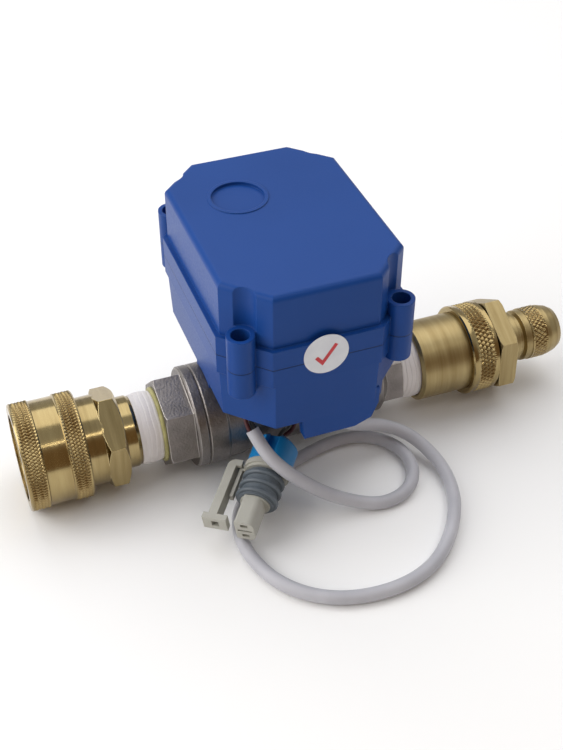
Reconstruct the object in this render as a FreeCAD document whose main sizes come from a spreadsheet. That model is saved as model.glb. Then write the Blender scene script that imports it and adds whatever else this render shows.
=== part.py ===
"""Motorized fill valve: a two-piece ball valve turned by a geared motor, with a quick coupler
on its inlet, a plug nipple on its outlet and a lead that ends in a sealed connector.

Frame of the finished part, in millimetres: X runs along the pipe from inlet to outlet, Y points
away from the front of the actuator and Z is up. The part stands on Z = 0 and is centred on X = 0.
Sizes are kept in the sheet. Inside one piece, x is measured from the stem and z from the pipe axis.
"""
import FreeCAD
import Part
import math
import os
import Sketcher
from FreeCAD import Placement, Rotation, Vector

os.makedirs("parts", exist_ok=True)

doc = FreeCAD.newDocument("MotorizedFillValve")
sheet = doc.addObject("Spreadsheet::Sheet", "Sizes")


# Sizes that know their own sheet expression
class Dim:
    """A length or an angle: its number now, and the sheet expression that gives it."""

    def __init__(self, text, number):
        self.text = text
        self.number = number

    def __add__(self, other):
        other = as_dim(other)
        return Dim(f"({self.text} + {other.text})", self.number + other.number)

    def __sub__(self, other):
        other = as_dim(other)
        return Dim(f"({self.text} - {other.text})", self.number - other.number)

    def __mul__(self, other):
        other = as_dim(other)
        return Dim(f"({self.text} * {other.text})", self.number * other.number)

    def __truediv__(self, other):
        other = as_dim(other)
        return Dim(f"({self.text} / {other.text})", self.number / other.number)

    def __neg__(self):
        return Dim(f"(-1 * {self.text})", -self.number)

    __radd__ = __add__
    __rmul__ = __mul__


def as_dim(value):
    """A plain number as a Dim, so that both kinds mix in one formula."""
    if isinstance(value, Dim):
        return value
    return Dim(f"({value})", value)


def size(alias, number):
    """One driving dimension: a row of the sheet with its alias."""
    size.row += 1
    sheet.set(f"A{size.row}", alias)
    sheet.set(f"B{size.row}", str(number))
    sheet.setAlias(f"B{size.row}", alias)
    return Dim(f"Sizes.{alias}", number)


size.row = 0

# Fits and walls shared by many pieces
running_gap = size("running_gap", 0.05)
loose_gap = size("loose_gap", 0.15)
soft_gap = size("soft_gap", 0.3)

# Valve: end cap, body, ball and stem
flow_radius = size("flow_radius", 5.0)
thread_radius = size("thread_radius", 10.35)
cap_seam_reach = size("cap_seam_reach", 27.55)
cap_ring_length = size("cap_ring_length", 3.4)
cap_ring_radius = size("cap_ring_radius", 15.6)
cap_hex_length = size("cap_hex_length", 8.5)
cap_hex_across = size("cap_hex_across", 25.4)
cap_thread_depth = size("cap_thread_depth", 10.5)
spigot_radius = size("spigot_radius", 10.3)
body_ring_length = size("body_ring_length", 5.75)
barrel_radius = size("barrel_radius", 12.4)
bulb_radius = size("bulb_radius", 15.0)
bulb_reach = size("bulb_reach", 16.5)
belly_radius = size("belly_radius", 13.7)
belly_reach = size("belly_reach", 10.0)
barrel_reach = size("barrel_reach", 29.5)
barrel_bevel = size("barrel_bevel", 2.2)
stub_hex_across = size("stub_hex_across", 20.8)
stub_hex_length = size("stub_hex_length", 5.3)
stub_thread_length = size("stub_thread_length", 13.0)
ball_radius = size("ball_radius", 9.2)
seat_reach = size("seat_reach", 11.2)
seat_depth = size("seat_depth", 5.0)
stem_radius = size("stem_radius", 3.5)
stem_tang_width = size("stem_tang_width", 3.0)
stem_square = size("stem_square", 4.4)
tower_radius = size("tower_radius", 7.5)
pad_width = size("pad_width", 26.0)
pad_depth = size("pad_depth", 24.0)
pad_thickness = size("pad_thickness", 3.2)
stem_ring_section = size("stem_ring_section", 0.7)

# Actuator housing
housing_half_width = size("housing_half_width", 26.2)
housing_half_depth = size("housing_half_depth", 35.2)
corner_cut = size("corner_cut", 11.07)
skirt_outset = size("skirt_outset", 1.38)
base_bottom = size("base_bottom", 21.4)
base_step_height = size("base_step_height", 36.8)
seam_height = size("seam_height", 42.97)
skirt_height = size("skirt_height", 49.05)
cover_height = size("cover_height", 65.6)
housing_wall = size("housing_wall", 2.4)
base_floor = size("base_floor", 2.8)
edge_round = size("edge_round", 1.8)
boss_inset_x = size("boss_inset_x", 3.4)
boss_inset_y = size("boss_inset_y", 3.74)
boss_radius = size("boss_radius", 3.85)
boss_top = size("boss_top", 53.4)
boss_bottom = size("boss_bottom", 34.4)
boss_channel_radius = size("boss_channel_radius", 4.35)
boss_hole_radius = size("boss_hole_radius", 2.6)
boss_shelf = size("boss_shelf", 45.5)
screw_radius = size("screw_radius", 1.5)
screw_head_radius = size("screw_head_radius", 2.3)
screw_head_height = size("screw_head_height", 2.2)
screw_length = size("screw_length", 9.0)
relief_reach = size("relief_reach", 18.5)
relief_height = size("relief_height", 26.3)
tab_left = size("tab_left", -7.6)
tab_right = size("tab_right", 16.1)
tab_bottom = size("tab_bottom", 14.7)
tab_thickness = size("tab_thickness", 3.4)
tab_round = size("tab_round", 7.0)
saddle_reach = size("saddle_reach", 24.6)
saddle_thickness = size("saddle_thickness", 4.0)
saddle_half_width = size("saddle_half_width", 10.0)
saddle_left_half_width = size("saddle_left_half_width", 6.0)
saddle_bottom = size("saddle_bottom", 11.5)
recess_x = size("recess_x", -8.0)
recess_y = size("recess_y", 12.8)
recess_radius = size("recess_radius", 7.6)
recess_depth = size("recess_depth", 0.7)
recess_rim = size("recess_rim", 1.1)
recess_rim_height = size("recess_rim_height", 0.25)

# Actuator drive
gear_teeth = size("gear_teeth", 36)
pinion_teeth = size("pinion_teeth", 12)
idler_teeth = size("idler_teeth", 30)
slow_module = size("slow_module", 0.8)
fast_module = size("fast_module", 0.6)
mesh_slack = size("mesh_slack", 0.12)
slow_gear_level = size("slow_gear_level", 26.0)
slow_gear_width = size("slow_gear_width", 5.0)
fast_gear_level = size("fast_gear_level", 32.4)
fast_gear_width = size("fast_gear_width", 3.2)
hub_radius = size("hub_radius", 5.0)
plate_level = size("plate_level", 37.6)
plate_thickness = size("plate_thickness", 1.6)
plate_half_width = size("plate_half_width", 21.0)
plate_half_depth = size("plate_half_depth", 29.5)
post_radius = size("post_radius", 2.0)
idler_direction = size("idler_direction", 72.0)
motor_direction = size("motor_direction", 196.0)
axle_radius = size("axle_radius", 1.2)
gearhead_radius = size("gearhead_radius", 9.6)
gearhead_height = size("gearhead_height", 7.5)
motor_radius = size("motor_radius", 8.8)
motor_height = size("motor_height", 14.5)
motor_offset = size("motor_offset", 4.0)
cam_radius = size("cam_radius", 6.6)
cam_lobe_radius = size("cam_lobe_radius", 8.4)
cam_thickness = size("cam_thickness", 3.0)
switch_width = size("switch_width", 12.0)
switch_height = size("switch_height", 5.4)
switch_length = size("switch_length", 6.2)
plunger_radius = size("plunger_radius", 0.8)
plunger_reach = size("plunger_reach", 1.5)
board_level = size("board_level", 48.4)
board_thickness = size("board_thickness", 1.6)
board_depth = size("board_depth", 20.0)
board_width = size("board_width", 34.0)
board_rear_inset = size("board_rear_inset", 5.5)
terminal_block_length = size("terminal_block_length", 15.0)
terminal_block_width = size("terminal_block_width", 7.0)
terminal_block_height = size("terminal_block_height", 7.5)
relay_length = size("relay_length", 10.0)
relay_width = size("relay_width", 9.0)
relay_height = size("relay_height", 7.0)
relay_x = size("relay_x", 6.0)
relay_inset = size("relay_inset", 11.0)
capacitor_radius = size("capacitor_radius", 3.0)
capacitor_height = size("capacitor_height", 8.0)
capacitor_x = size("capacitor_x", -10.0)
capacitor_inset = size("capacitor_inset", 6.0)

# Lead exit and inspection mark
gland_x = size("gland_x", 9.0)
gland_inset = size("gland_inset", 9.7)
gland_radius = size("gland_radius", 4.2)
gland_neck_radius = size("gland_neck_radius", 3.2)
gland_length = size("gland_length", 4.0)
mark_radius = size("mark_radius", 6.4)
mark_x = size("mark_x", -0.7)
mark_height = size("mark_height", 44.7)
mark_thickness = size("mark_thickness", 0.15)

# Inlet: taped joint and quick coupler
joint_gap = size("joint_gap", 7.55)
tape_radius = size("tape_radius", 10.95)
tape_edge_radius = size("tape_edge_radius", 10.45)
bead_radius = size("bead_radius", 11.5)
bead_length = size("bead_length", 1.0)
collar_length = size("collar_length", 4.4)
collar_radius = size("collar_radius", 10.9)
coupler_hex_length = size("coupler_hex_length", 6.5)
coupler_hex_across = size("coupler_hex_across", 26.7)
neck_length = size("neck_length", 5.1)
neck_radius = size("neck_radius", 13.5)
sleeve_length = size("sleeve_length", 18.8)
sleeve_radius = size("sleeve_radius", 16.15)
sleeve_band_front = size("sleeve_band_front", 5.5)
sleeve_band_rear = size("sleeve_band_rear", 5.4)
sleeve_waist_drop = size("sleeve_waist_drop", 0.4)
sleeve_travel = size("sleeve_travel", 3.5)
barrel_tube_radius = size("barrel_tube_radius", 11.6)
socket_radius = size("socket_radius", 8.35)
socket_depth = size("socket_depth", 20.0)
mouth_radius = size("mouth_radius", 8.6)
mouth_depth = size("mouth_depth", 3.05)
lock_ball_radius = size("lock_ball_radius", 2.0)
lock_ball_count = size("lock_ball_count", 6)
lock_ball_station = size("lock_ball_station", 5.9)
land_length = size("land_length", 3.0)
sleeve_recess_radius = size("sleeve_recess_radius", 13.0)
release_radius = size("release_radius", 12.4)
spring_chamber_radius = size("spring_chamber_radius", 13.7)
spring_wire_radius = size("spring_wire_radius", 0.6)
spring_turns = size("spring_turns", 3)
spring_length = size("spring_length", 6.6)
stop_ring_width = size("stop_ring_width", 1.0)
seal_section = size("seal_section", 1.0)

# Outlet: adapter, union ring and plug nipple
outlet_gap = size("outlet_gap", 6.1)
adapter_radius = size("adapter_radius", 12.64)
adapter_length = size("adapter_length", 17.1)
adapter_bevel = size("adapter_bevel", 0.9)
adapter_spigot_radius = size("adapter_spigot_radius", 10.8)
adapter_spigot_length = size("adapter_spigot_length", 4.6)
union_radius = size("union_radius", 14.5)
union_rim_length = size("union_rim_length", 1.9)
union_knurl_length = size("union_knurl_length", 6.1)
union_bead_length = size("union_bead_length", 1.2)
flange_thickness = size("flange_thickness", 1.6)
gasket_thickness = size("gasket_thickness", 0.8)
plug_gap = size("plug_gap", 0.3)
plug_hex_length = size("plug_hex_length", 5.9)
plug_hex_across = size("plug_hex_across", 27.3)
nipple_radius = size("nipple_radius", 8.3)
nipple_neck_radius = size("nipple_neck_radius", 7.0)
nipple_neck_length = size("nipple_neck_length", 1.15)
nipple_collar_length = size("nipple_collar_length", 3.6)
nipple_groove_length = size("nipple_groove_length", 2.2)
nipple_band_length = size("nipple_band_length", 9.0)
nipple_nose_length = size("nipple_nose_length", 4.2)
nipple_nose_radius = size("nipple_nose_radius", 6.6)
hex_face_share = size("hex_face_share", 1.09)
coupler_face_share = size("coupler_face_share", 1.0)

# Connector on the lead
nose_length = size("nose_length", 9.3)
nose_width = size("nose_width", 5.8)
nose_height = size("nose_height", 7.8)
core_length = size("core_length", 10.4)
collar_width = size("collar_width", 12.6)
collar_depth = size("collar_depth", 2.6)
collar_ratio = size("collar_ratio", 0.9)
rib_width = size("rib_width", 12.8)
rib_pitch = size("rib_pitch", 3.3)
rib_thickness = size("rib_thickness", 1.5)
retainer_width = size("retainer_width", 13.4)
retainer_length = size("retainer_length", 10.4)
retainer_slot = size("retainer_slot", 4.0)
latch_length = size("latch_length", 20.1)
latch_offset = size("latch_offset", 10.2)
latch_thickness = size("latch_thickness", 2.6)
latch_width = size("latch_width", 5.0)
cavity_pitch = size("cavity_pitch", 4.4)
terminal_width = size("terminal_width", 1.8)
terminal_height = size("terminal_height", 1.0)
cable_radius = size("cable_radius", 2.0)
wire_radius = size("wire_radius", 0.65)

doc.recompute()

# Stations along the pipe, measured from the stem
cap_ring_x = -(cap_seam_reach + cap_ring_length)
cap_face_x = cap_ring_x - cap_hex_length
coupler_collar_x = cap_face_x - joint_gap
coupler_hex_x = coupler_collar_x - collar_length
coupler_neck_x = coupler_hex_x - coupler_hex_length
sleeve_rear_x = coupler_neck_x - neck_length
inlet_end_x = sleeve_rear_x - sleeve_length
stub_hex_x = barrel_reach + barrel_bevel
stub_face_x = stub_hex_x + stub_hex_length
adapter_x = stub_face_x + outlet_gap
union_x = adapter_x + adapter_length - loose_gap * 2
union_end_x = union_x + union_rim_length + union_knurl_length + union_bead_length
plug_hex_x = union_end_x + plug_gap
nipple_x = plug_hex_x + plug_hex_length
nipple_length = (
    nipple_neck_length + nipple_collar_length + nipple_groove_length
    + nipple_band_length + nipple_nose_length
)
outlet_end_x = nipple_x + nipple_length

# Where the stem and the pipe axis lie in the finished part
stem_x = -(inlet_end_x + outlet_end_x) / 2
axis_z = sleeve_radius

nodes = []


# Helpers that bind sizes to the sheet
def bind(obj, path, value):
    """Tie one property to the sheet."""
    obj.setExpression(path, as_dim(value).text)


def put(obj, x=0, y=0, z=0, turn=None):
    """Place an object by its distances from the stem and the pipe axis."""
    place = (stem_x + x, as_dim(y), axis_z + z)
    obj.Placement = Placement(Vector(*(value.number for value in place)), turn or Rotation())
    for letter, value in zip("xyz", place):
        bind(obj, f"Placement.Base.{letter}", value)
    return obj


def node(obj, name):
    """Keep an object as a sub-part under its own name."""
    obj.Label = name
    nodes.append(obj)
    return obj


def sketch_on(body, name, role, level=0):
    """Sketch on one of the body's own origin planes, lifted by level."""
    plane = next(item for item in body.Origin.OriginFeatures if item.Role == role)
    sketch = body.newObject("Sketcher::SketchObject", name)
    sketch.AttachmentSupport = (plane, "")
    sketch.MapMode = "FlatFace"
    sketch.AttachmentOffset = Placement(Vector(0, 0, as_dim(level).number), Rotation())
    bind(sketch, "AttachmentOffset.Base.z", level)
    return sketch


def draw_polygon(sketch, corners):
    """Closed outline whose corners are tied to the sheet."""
    corners = [(as_dim(across), as_dim(up)) for across, up in corners]
    count = len(corners)
    first = sketch.GeometryCount
    spots = [Vector(across.number, up.number, 0) for across, up in corners]
    sketch.addGeometry(
        [Part.LineSegment(spots[i], spots[(i + 1) % count]) for i in range(count)], False
    )
    rules = []
    for i in range(count):
        rules.append(Sketcher.Constraint("Coincident", first + i, 2, first + (i + 1) % count, 1))
    for i, spot in enumerate(spots):
        rules.append(Sketcher.Constraint("DistanceX", -1, 1, first + i, 1, spot.x))
        rules.append(Sketcher.Constraint("DistanceY", -1, 1, first + i, 1, spot.y))
    start = sketch.ConstraintCount
    sketch.addConstraint(rules)
    for i, (across, up) in enumerate(corners):
        bind(sketch, f"Constraints[{start + count + 2 * i}]", across)
        bind(sketch, f"Constraints[{start + count + 2 * i + 1}]", up)
    return sketch


def draw_circle(sketch, across, up, radius):
    """Circle whose centre and radius are tied to the sheet."""
    across, up, radius = as_dim(across), as_dim(up), as_dim(radius)
    index = sketch.addGeometry(
        Part.Circle(Vector(across.number, up.number, 0), Vector(0, 0, 1), radius.number), False
    )
    start = sketch.ConstraintCount
    sketch.addConstraint([
        Sketcher.Constraint("DistanceX", -1, 1, index, 3, across.number),
        Sketcher.Constraint("DistanceY", -1, 1, index, 3, up.number),
        Sketcher.Constraint("Radius", index, radius.number),
    ])
    for step, value in enumerate((across, up, radius)):
        bind(sketch, f"Constraints[{start + step}]", value)
    return sketch


def new_body(name):
    """An empty body."""
    return doc.addObject("PartDesign::Body", name)


def pad(body, sketch, length, name):
    """Pad a sketch along its normal."""
    feature = body.newObject("PartDesign::Pad", name)
    feature.Profile = sketch
    bind(feature, "Length", length)
    return feature


def pocket(body, sketch, length, name, reverse=False):
    """Cut a sketch into the body."""
    feature = body.newObject("PartDesign::Pocket", name)
    feature.Profile = sketch
    feature.Reversed = reverse
    bind(feature, "Length", length)
    return feature


def turned(name, corners):
    """Body turned about the pipe axis from its (x, radius) corners."""
    body = new_body(name)
    sketch = draw_polygon(sketch_on(body, name + "_profile", "XY_Plane"), corners)
    turn = body.newObject("PartDesign::Revolution", name + "_turn")
    turn.Profile = sketch
    turn.ReferenceAxis = (sketch, ["H_Axis"])
    turn.Angle = 360
    return put(body)


def cylinder(name, radius, height, x, y, z, turn=None):
    """Upright round bar."""
    bar = doc.addObject("Part::Cylinder", name)
    bind(bar, "Radius", radius)
    bind(bar, "Height", height)
    return put(bar, x, y, z, turn)


def block(name, length, width, height, x, y, z):
    """Block that starts at its lowest corner."""
    item = doc.addObject("Part::Box", name)
    bind(item, "Length", length)
    bind(item, "Width", width)
    bind(item, "Height", height)
    return put(item, x, y, z)


def cut(name, base, tool):
    """Base without tool."""
    feature = doc.addObject("Part::Cut", name)
    feature.Base = base
    feature.Tool = tool
    return feature


def fuse(name, *shapes):
    """Shapes joined into one solid."""
    feature = doc.addObject("Part::MultiFuse", name)
    feature.Shapes = list(shapes)
    feature.Refine = True
    return feature


def common(name, *shapes):
    """What the shapes share."""
    feature = doc.addObject("Part::MultiCommon", name)
    feature.Shapes = list(shapes)
    return feature


ALONG_PIPE = Rotation(Vector(0, 1, 0), 90)


def hexagon(name, across, start, length, clock, face_share, far_chamfer=True):
    """Hexagon along the pipe, clocked about it by an angle, its near and perhaps its far end chamfered."""
    bar = doc.addObject("Part::Prism", name + "_bar")
    bar.Polygon = 6
    bind(bar, "Circumradius", across / math.sqrt(3))
    bind(bar, "Height", length)
    put(bar, start, 0, 0, Rotation(Vector(1, 0, 0), clock) * ALONG_PIPE)
    corner = across / math.sqrt(3)
    face = across / 2 * face_share
    slope = (corner - face) * math.tan(math.radians(30))
    far_end = [(start + length, corner)]
    if far_chamfer:
        far_end = [(start + length - slope, corner), (start + length, face)]
    blank = turned(name + "_blank", [
        (start, 0), (start, face), (start + slope, corner), *far_end, (start + length, 0),
    ])
    return common(name, bar, blank)


# Valve end cap: hexagon, round flange and the spigot that holds the inlet seat
CAP_CLOCK = -14.7
cap_outside = turned("end_cap_outside", [
    (cap_ring_x, 0), (cap_ring_x, cap_ring_radius - 0.5), (cap_ring_x + 0.5, cap_ring_radius),
    (-cap_seam_reach - 0.4, cap_ring_radius), (-cap_seam_reach, cap_ring_radius - 0.4),
    (-cap_seam_reach, spigot_radius), (-seat_reach, spigot_radius), (-seat_reach, 0),
])
cap_hex = hexagon(
    "end_cap_hexagon", cap_hex_across, cap_face_x, cap_hex_length + 0.1, CAP_CLOCK, hex_face_share, False,
)
cap_bore = turned("end_cap_bore", [
    (cap_face_x, 0), (cap_face_x, thread_radius + loose_gap),
    (cap_face_x + cap_thread_depth, thread_radius + loose_gap),
    (cap_face_x + cap_thread_depth, flow_radius + 1), (-seat_reach, flow_radius + 1),
    (-seat_reach, 0),
])
node(cut("end_cap", fuse("end_cap_solid", cap_outside, cap_hex), cap_bore), "valve_end_cap")

# Valve body: ring, cast bulb round the ball, barrel, wrench stub, male thread and the tower that carries the actuator
body_ring_x = -cap_seam_reach + body_ring_length
body_outside = turned("valve_outside", [
    (-cap_seam_reach, 0), (-cap_seam_reach, cap_ring_radius - 0.4),
    (-cap_seam_reach + 0.4, cap_ring_radius), (body_ring_x, cap_ring_radius),
    (body_ring_x + 0.8, bulb_radius), (-bulb_reach, bulb_radius - 0.1),
    (-bulb_reach + 1.7, (bulb_radius + belly_radius) / 2), (-bulb_reach + 3.6, belly_radius + 0.2),
    (-bulb_reach + 6.5, belly_radius), (belly_reach, belly_radius - 0.3),
    (belly_reach + 5, (belly_radius + barrel_radius) / 2 - 0.1), (belly_reach + 10, barrel_radius),
    (barrel_reach, barrel_radius),
    (stub_hex_x, stub_hex_across / 2), (stub_face_x, stub_hex_across / 2),
    (stub_face_x, thread_radius), (stub_face_x + stub_thread_length, thread_radius - 0.3),
    (stub_face_x + stub_thread_length, 0),
])
stub_hex = hexagon(
    "valve_stub", stub_hex_across, stub_hex_x - 1.5, stub_hex_length + 1.5, CAP_CLOCK, hex_face_share,
)
tower = cylinder("valve_tower", tower_radius, base_bottom, 0, 0, 0)
tower_pad = block(
    "valve_pad", pad_width, pad_depth, pad_thickness,
    -pad_width / 2, -pad_depth / 2, base_bottom - pad_thickness,
)
body_bore = turned("valve_bore", [
    (-cap_seam_reach, 0), (-cap_seam_reach, spigot_radius + running_gap),
    (seat_reach, spigot_radius + running_gap), (seat_reach, flow_radius + 1),
    (stub_face_x + stub_thread_length, flow_radius + 1), (stub_face_x + stub_thread_length, 0),
])
stem_bore = cylinder("valve_stem_bore", stem_radius + running_gap, base_bottom, 0, 0, 0)
PAD_SCREW_SHARE = 0.38
pad_holes = [
    cylinder(
        f"valve_pad_hole_{side}", screw_radius, pad_thickness,
        pad_width * PAD_SCREW_SHARE * direction, 0, base_bottom - pad_thickness,
    )
    for side, direction in (("left", -1), ("right", 1))
]
valve_solid = fuse("valve_solid", body_outside, stub_hex, tower, tower_pad)
valve_tools = fuse("valve_tools", body_bore, stem_bore, *pad_holes)
node(cut("valve", valve_solid, valve_tools), "valve_body")

# Ball, with its flow bore and the slot that the stem turns
ball = doc.addObject("Part::Sphere", "ball_sphere")
bind(ball, "Radius", ball_radius)
put(ball)
ball_bore = cylinder(
    "ball_bore", flow_radius, ball_radius * 2, -ball_radius, 0, 0, ALONG_PIPE,
)
SLOT_DEPTH = 3.0
ball_slot = block(
    "ball_slot", ball_radius * 2, stem_tang_width + running_gap * 2, SLOT_DEPTH * 2,
    -ball_radius, -stem_tang_width / 2 - running_gap, ball_radius - SLOT_DEPTH,
)
node(cut("ball_cut", ball, fuse("ball_tools", ball_bore, ball_slot)), "valve_ball")

# Seats that the ball turns against
for side, direction in (("inlet", -1), ("outlet", 1)):
    ring = turned(f"{side}_seat_ring", [
        ((seat_reach - seat_depth) * direction, flow_radius + 0.6),
        ((seat_reach - seat_depth) * direction, spigot_radius - running_gap),
        (seat_reach * direction, spigot_radius - running_gap),
        (seat_reach * direction, flow_radius + 0.6),
    ])
    hollow = doc.addObject("Part::Sphere", f"{side}_seat_hollow")
    bind(hollow, "Radius", ball_radius + running_gap)
    put(hollow)
    node(cut(f"{side}_seat_cut", ring, hollow), f"seat_{side}")

# Stem: tang in the ball, round shank with two seal grooves, square top in the output gear
tang_bottom = ball_radius - SLOT_DEPTH + running_gap
stem_shoulder = ball_radius + 0.4
stem_top = base_bottom + 5.2
RING_LEVELS = (0.35, 0.65)
shank = cylinder("stem_shank", stem_radius, base_bottom - stem_shoulder, 0, 0, stem_shoulder)
tang = block(
    "stem_tang", stem_radius * 1.7, stem_tang_width, stem_shoulder - tang_bottom + 0.5,
    -stem_radius * 0.85, -stem_tang_width / 2, tang_bottom,
)
square = block(
    "stem_square", stem_square, stem_square, stem_top - base_bottom + 0.5,
    -stem_square / 2, -stem_square / 2, base_bottom - 0.5,
)
stem_grooves = []
for number, share in enumerate(RING_LEVELS, 1):
    level = stem_shoulder + (base_bottom - stem_shoulder) * share
    seal = doc.addObject("Part::Torus", f"stem_ring_{number}")
    bind(seal, "Radius1", stem_radius + running_gap / 2 - stem_ring_section)
    bind(seal, "Radius2", stem_ring_section)
    put(seal, 0, 0, level)
    node(seal, f"stem_seal_{number}")
    groove_level = level - stem_ring_section - running_gap
    groove_width = (stem_ring_section + running_gap) * 2
    groove_floor = stem_radius - stem_ring_section * 2
    stem_grooves.append(cut(
        f"stem_groove_{number}",
        cylinder(f"stem_groove_rim_{number}", stem_radius + 1, groove_width, 0, 0, groove_level),
        cylinder(f"stem_groove_core_{number}", groove_floor, groove_width, 0, 0, groove_level),
    ))
stem_solid = fuse("stem_solid", shank, tang, square)
node(cut("stem", stem_solid, fuse("stem_groove_tools", *stem_grooves)), "valve_stem")


# Housing outlines: a rectangle with its four corners cut off
def octagon(half_width, half_depth, corner):
    """Corners of the housing outline."""
    inner_x = half_width - corner
    inner_y = half_depth - corner
    return [
        (inner_x, -half_depth), (half_width, -inner_y), (half_width, inner_y), (inner_x, half_depth),
        (-inner_x, half_depth), (-half_width, inner_y), (-half_width, -inner_y), (-inner_x, -half_depth),
    ]


gland_y = gland_inset - housing_half_depth
boss_x = housing_half_width - boss_inset_x
boss_y = housing_half_depth - boss_inset_y
CORNERS = {"front_left": (-1, -1), "front_right": (1, -1), "back_left": (-1, 1), "back_right": (1, 1)}

# The corner cut of an outset outline keeps its chamfer parallel, so it changes by this share
OUTSET_SHARE = 2 - math.sqrt(2)
skirt_corner = corner_cut + skirt_outset * OUTSET_SHARE
cavity_corner = corner_cut - housing_wall * OUTSET_SHARE + 2.2
cavity_half_width = housing_half_width - housing_wall
cavity_half_depth = housing_half_depth - housing_wall

# Actuator base: tapered tub with corner bosses, a deep front tab and saddles on the valve
base = new_body("base_tub")
base_band = draw_polygon(
    sketch_on(base, "base_band_outline", "XY_Plane", base_step_height),
    octagon(housing_half_width + skirt_outset, housing_half_depth + skirt_outset, skirt_corner),
)
pad(base, base_band, seam_height - base_step_height, "base_band")
BASE_TAPER = 0.5
base_top = draw_polygon(
    sketch_on(base, "base_loft_top", "XY_Plane", base_step_height),
    octagon(
        housing_half_width + skirt_outset / 2, housing_half_depth + skirt_outset,
        corner_cut + skirt_outset * OUTSET_SHARE,
    ),
)
base_foot = draw_polygon(
    sketch_on(base, "base_loft_foot", "XY_Plane", base_bottom),
    octagon(
        housing_half_width, housing_half_depth + skirt_outset * BASE_TAPER,
        corner_cut + skirt_outset * BASE_TAPER * OUTSET_SHARE,
    ),
)
base_loft = base.newObject("PartDesign::AdditiveLoft", "base_lower")
base_loft.Profile = base_top
base_loft.Sections = [base_foot]
base_loft.Ruled = True
for corner, (side_x, side_y) in CORNERS.items():
    boss = draw_circle(
        sketch_on(base, f"base_boss_{corner}_outline", "XY_Plane", boss_bottom),
        boss_x * side_x, boss_y * side_y, boss_radius,
    )
    pad(base, boss, seam_height - boss_bottom, f"base_boss_{corner}")
cavity = draw_polygon(
    sketch_on(base, "base_cavity_outline", "XY_Plane", seam_height),
    octagon(cavity_half_width, cavity_half_depth, cavity_corner),
)
pocket(base, cavity, seam_height - base_bottom - base_floor, "base_cavity")
for corner, (side_x, side_y) in CORNERS.items():
    pilot = draw_circle(
        sketch_on(base, f"base_pilot_{corner}_outline", "XY_Plane", seam_height),
        boss_x * side_x, boss_y * side_y, screw_radius + running_gap,
    )
    pocket(base, pilot, screw_length - 1.5, f"base_pilot_{corner}")
hub_hole = draw_circle(
    sketch_on(base, "base_hub_outline", "XY_Plane", base_bottom + base_floor),
    0, 0, hub_radius + running_gap,
)
pocket(base, hub_hole, base_floor, "base_hub_hole")
gland_hole = draw_circle(
    sketch_on(base, "base_gland_outline", "XY_Plane", base_bottom + base_floor),
    gland_x, gland_y, gland_neck_radius,
)
pocket(base, gland_hole, base_floor, "base_gland_hole")
for side, direction in (("left", -1), ("right", 1)):
    screw_hole = draw_circle(
        sketch_on(base, f"base_clamp_{side}_outline", "XY_Plane", base_bottom + base_floor),
        pad_width * PAD_SCREW_SHARE * direction, 0, screw_radius + loose_gap,
    )
    pocket(base, screw_hole, base_floor, f"base_clamp_{side}")
put(base)

# The right end of the tub stands higher than the rest
relief = block(
    "base_relief", housing_half_width, housing_half_depth * 2 + 6, relief_height - base_bottom,
    relief_reach, -housing_half_depth - 3, base_bottom,
)
relief_floor = block(
    "base_relief_floor", cavity_half_width - relief_reach + housing_wall,
    (cavity_half_depth - corner_cut) * 2, housing_wall,
    relief_reach - housing_wall, -cavity_half_depth + corner_cut, relief_height,
)
relief_wall = block(
    "base_relief_wall", housing_wall, (cavity_half_depth - corner_cut) * 2,
    relief_height - base_bottom + 0.5, relief_reach - housing_wall,
    -cavity_half_depth + corner_cut, base_bottom,
)
tub = fuse("base_shell", cut("base_relieved", base, relief), relief_floor, relief_wall)

# Deep tab on the front wall, rounded at its outer lower corner
tab = new_body("base_tab")
tab_face = housing_half_depth + skirt_outset * BASE_TAPER
tab_plate = draw_polygon(sketch_on(tab, "base_tab_outline", "XZ_Plane", tab_face - tab_thickness), [
    (tab_left, relief_height + 1), (tab_right, relief_height + 1), (tab_right, tab_bottom + tab_round),
    (tab_right - tab_round * 0.29, tab_bottom + tab_round * 0.29),
    (tab_right - tab_round, tab_bottom), (tab_left + 1.4, tab_bottom),
])
pad(tab, tab_plate, tab_thickness, "base_tab_pad")
put(tab)

# Saddles that straddle the valve, hollowed to its ring and barrel
saddle_left = block(
    "saddle_left", saddle_thickness, saddle_left_half_width * 2, base_bottom - saddle_bottom + 0.5,
    -saddle_reach, -saddle_left_half_width, saddle_bottom,
)
saddle_right = block(
    "saddle_right", saddle_thickness, saddle_half_width * 2, base_bottom - saddle_bottom + 0.5,
    relief_reach - saddle_thickness, -saddle_half_width, saddle_bottom,
)
saddle_hollow = cylinder(
    "saddle_hollow", cap_ring_radius + soft_gap, saddle_reach, -saddle_reach, 0, 0, ALONG_PIPE,
)
saddle_hollow_right = cylinder(
    "saddle_hollow_right", belly_radius + soft_gap, saddle_reach, 0, 0, 0, ALONG_PIPE,
)
saddles = cut(
    "saddles", fuse("saddle_blocks", saddle_left, saddle_right),
    fuse("saddle_tools", saddle_hollow, saddle_hollow_right),
)

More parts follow.
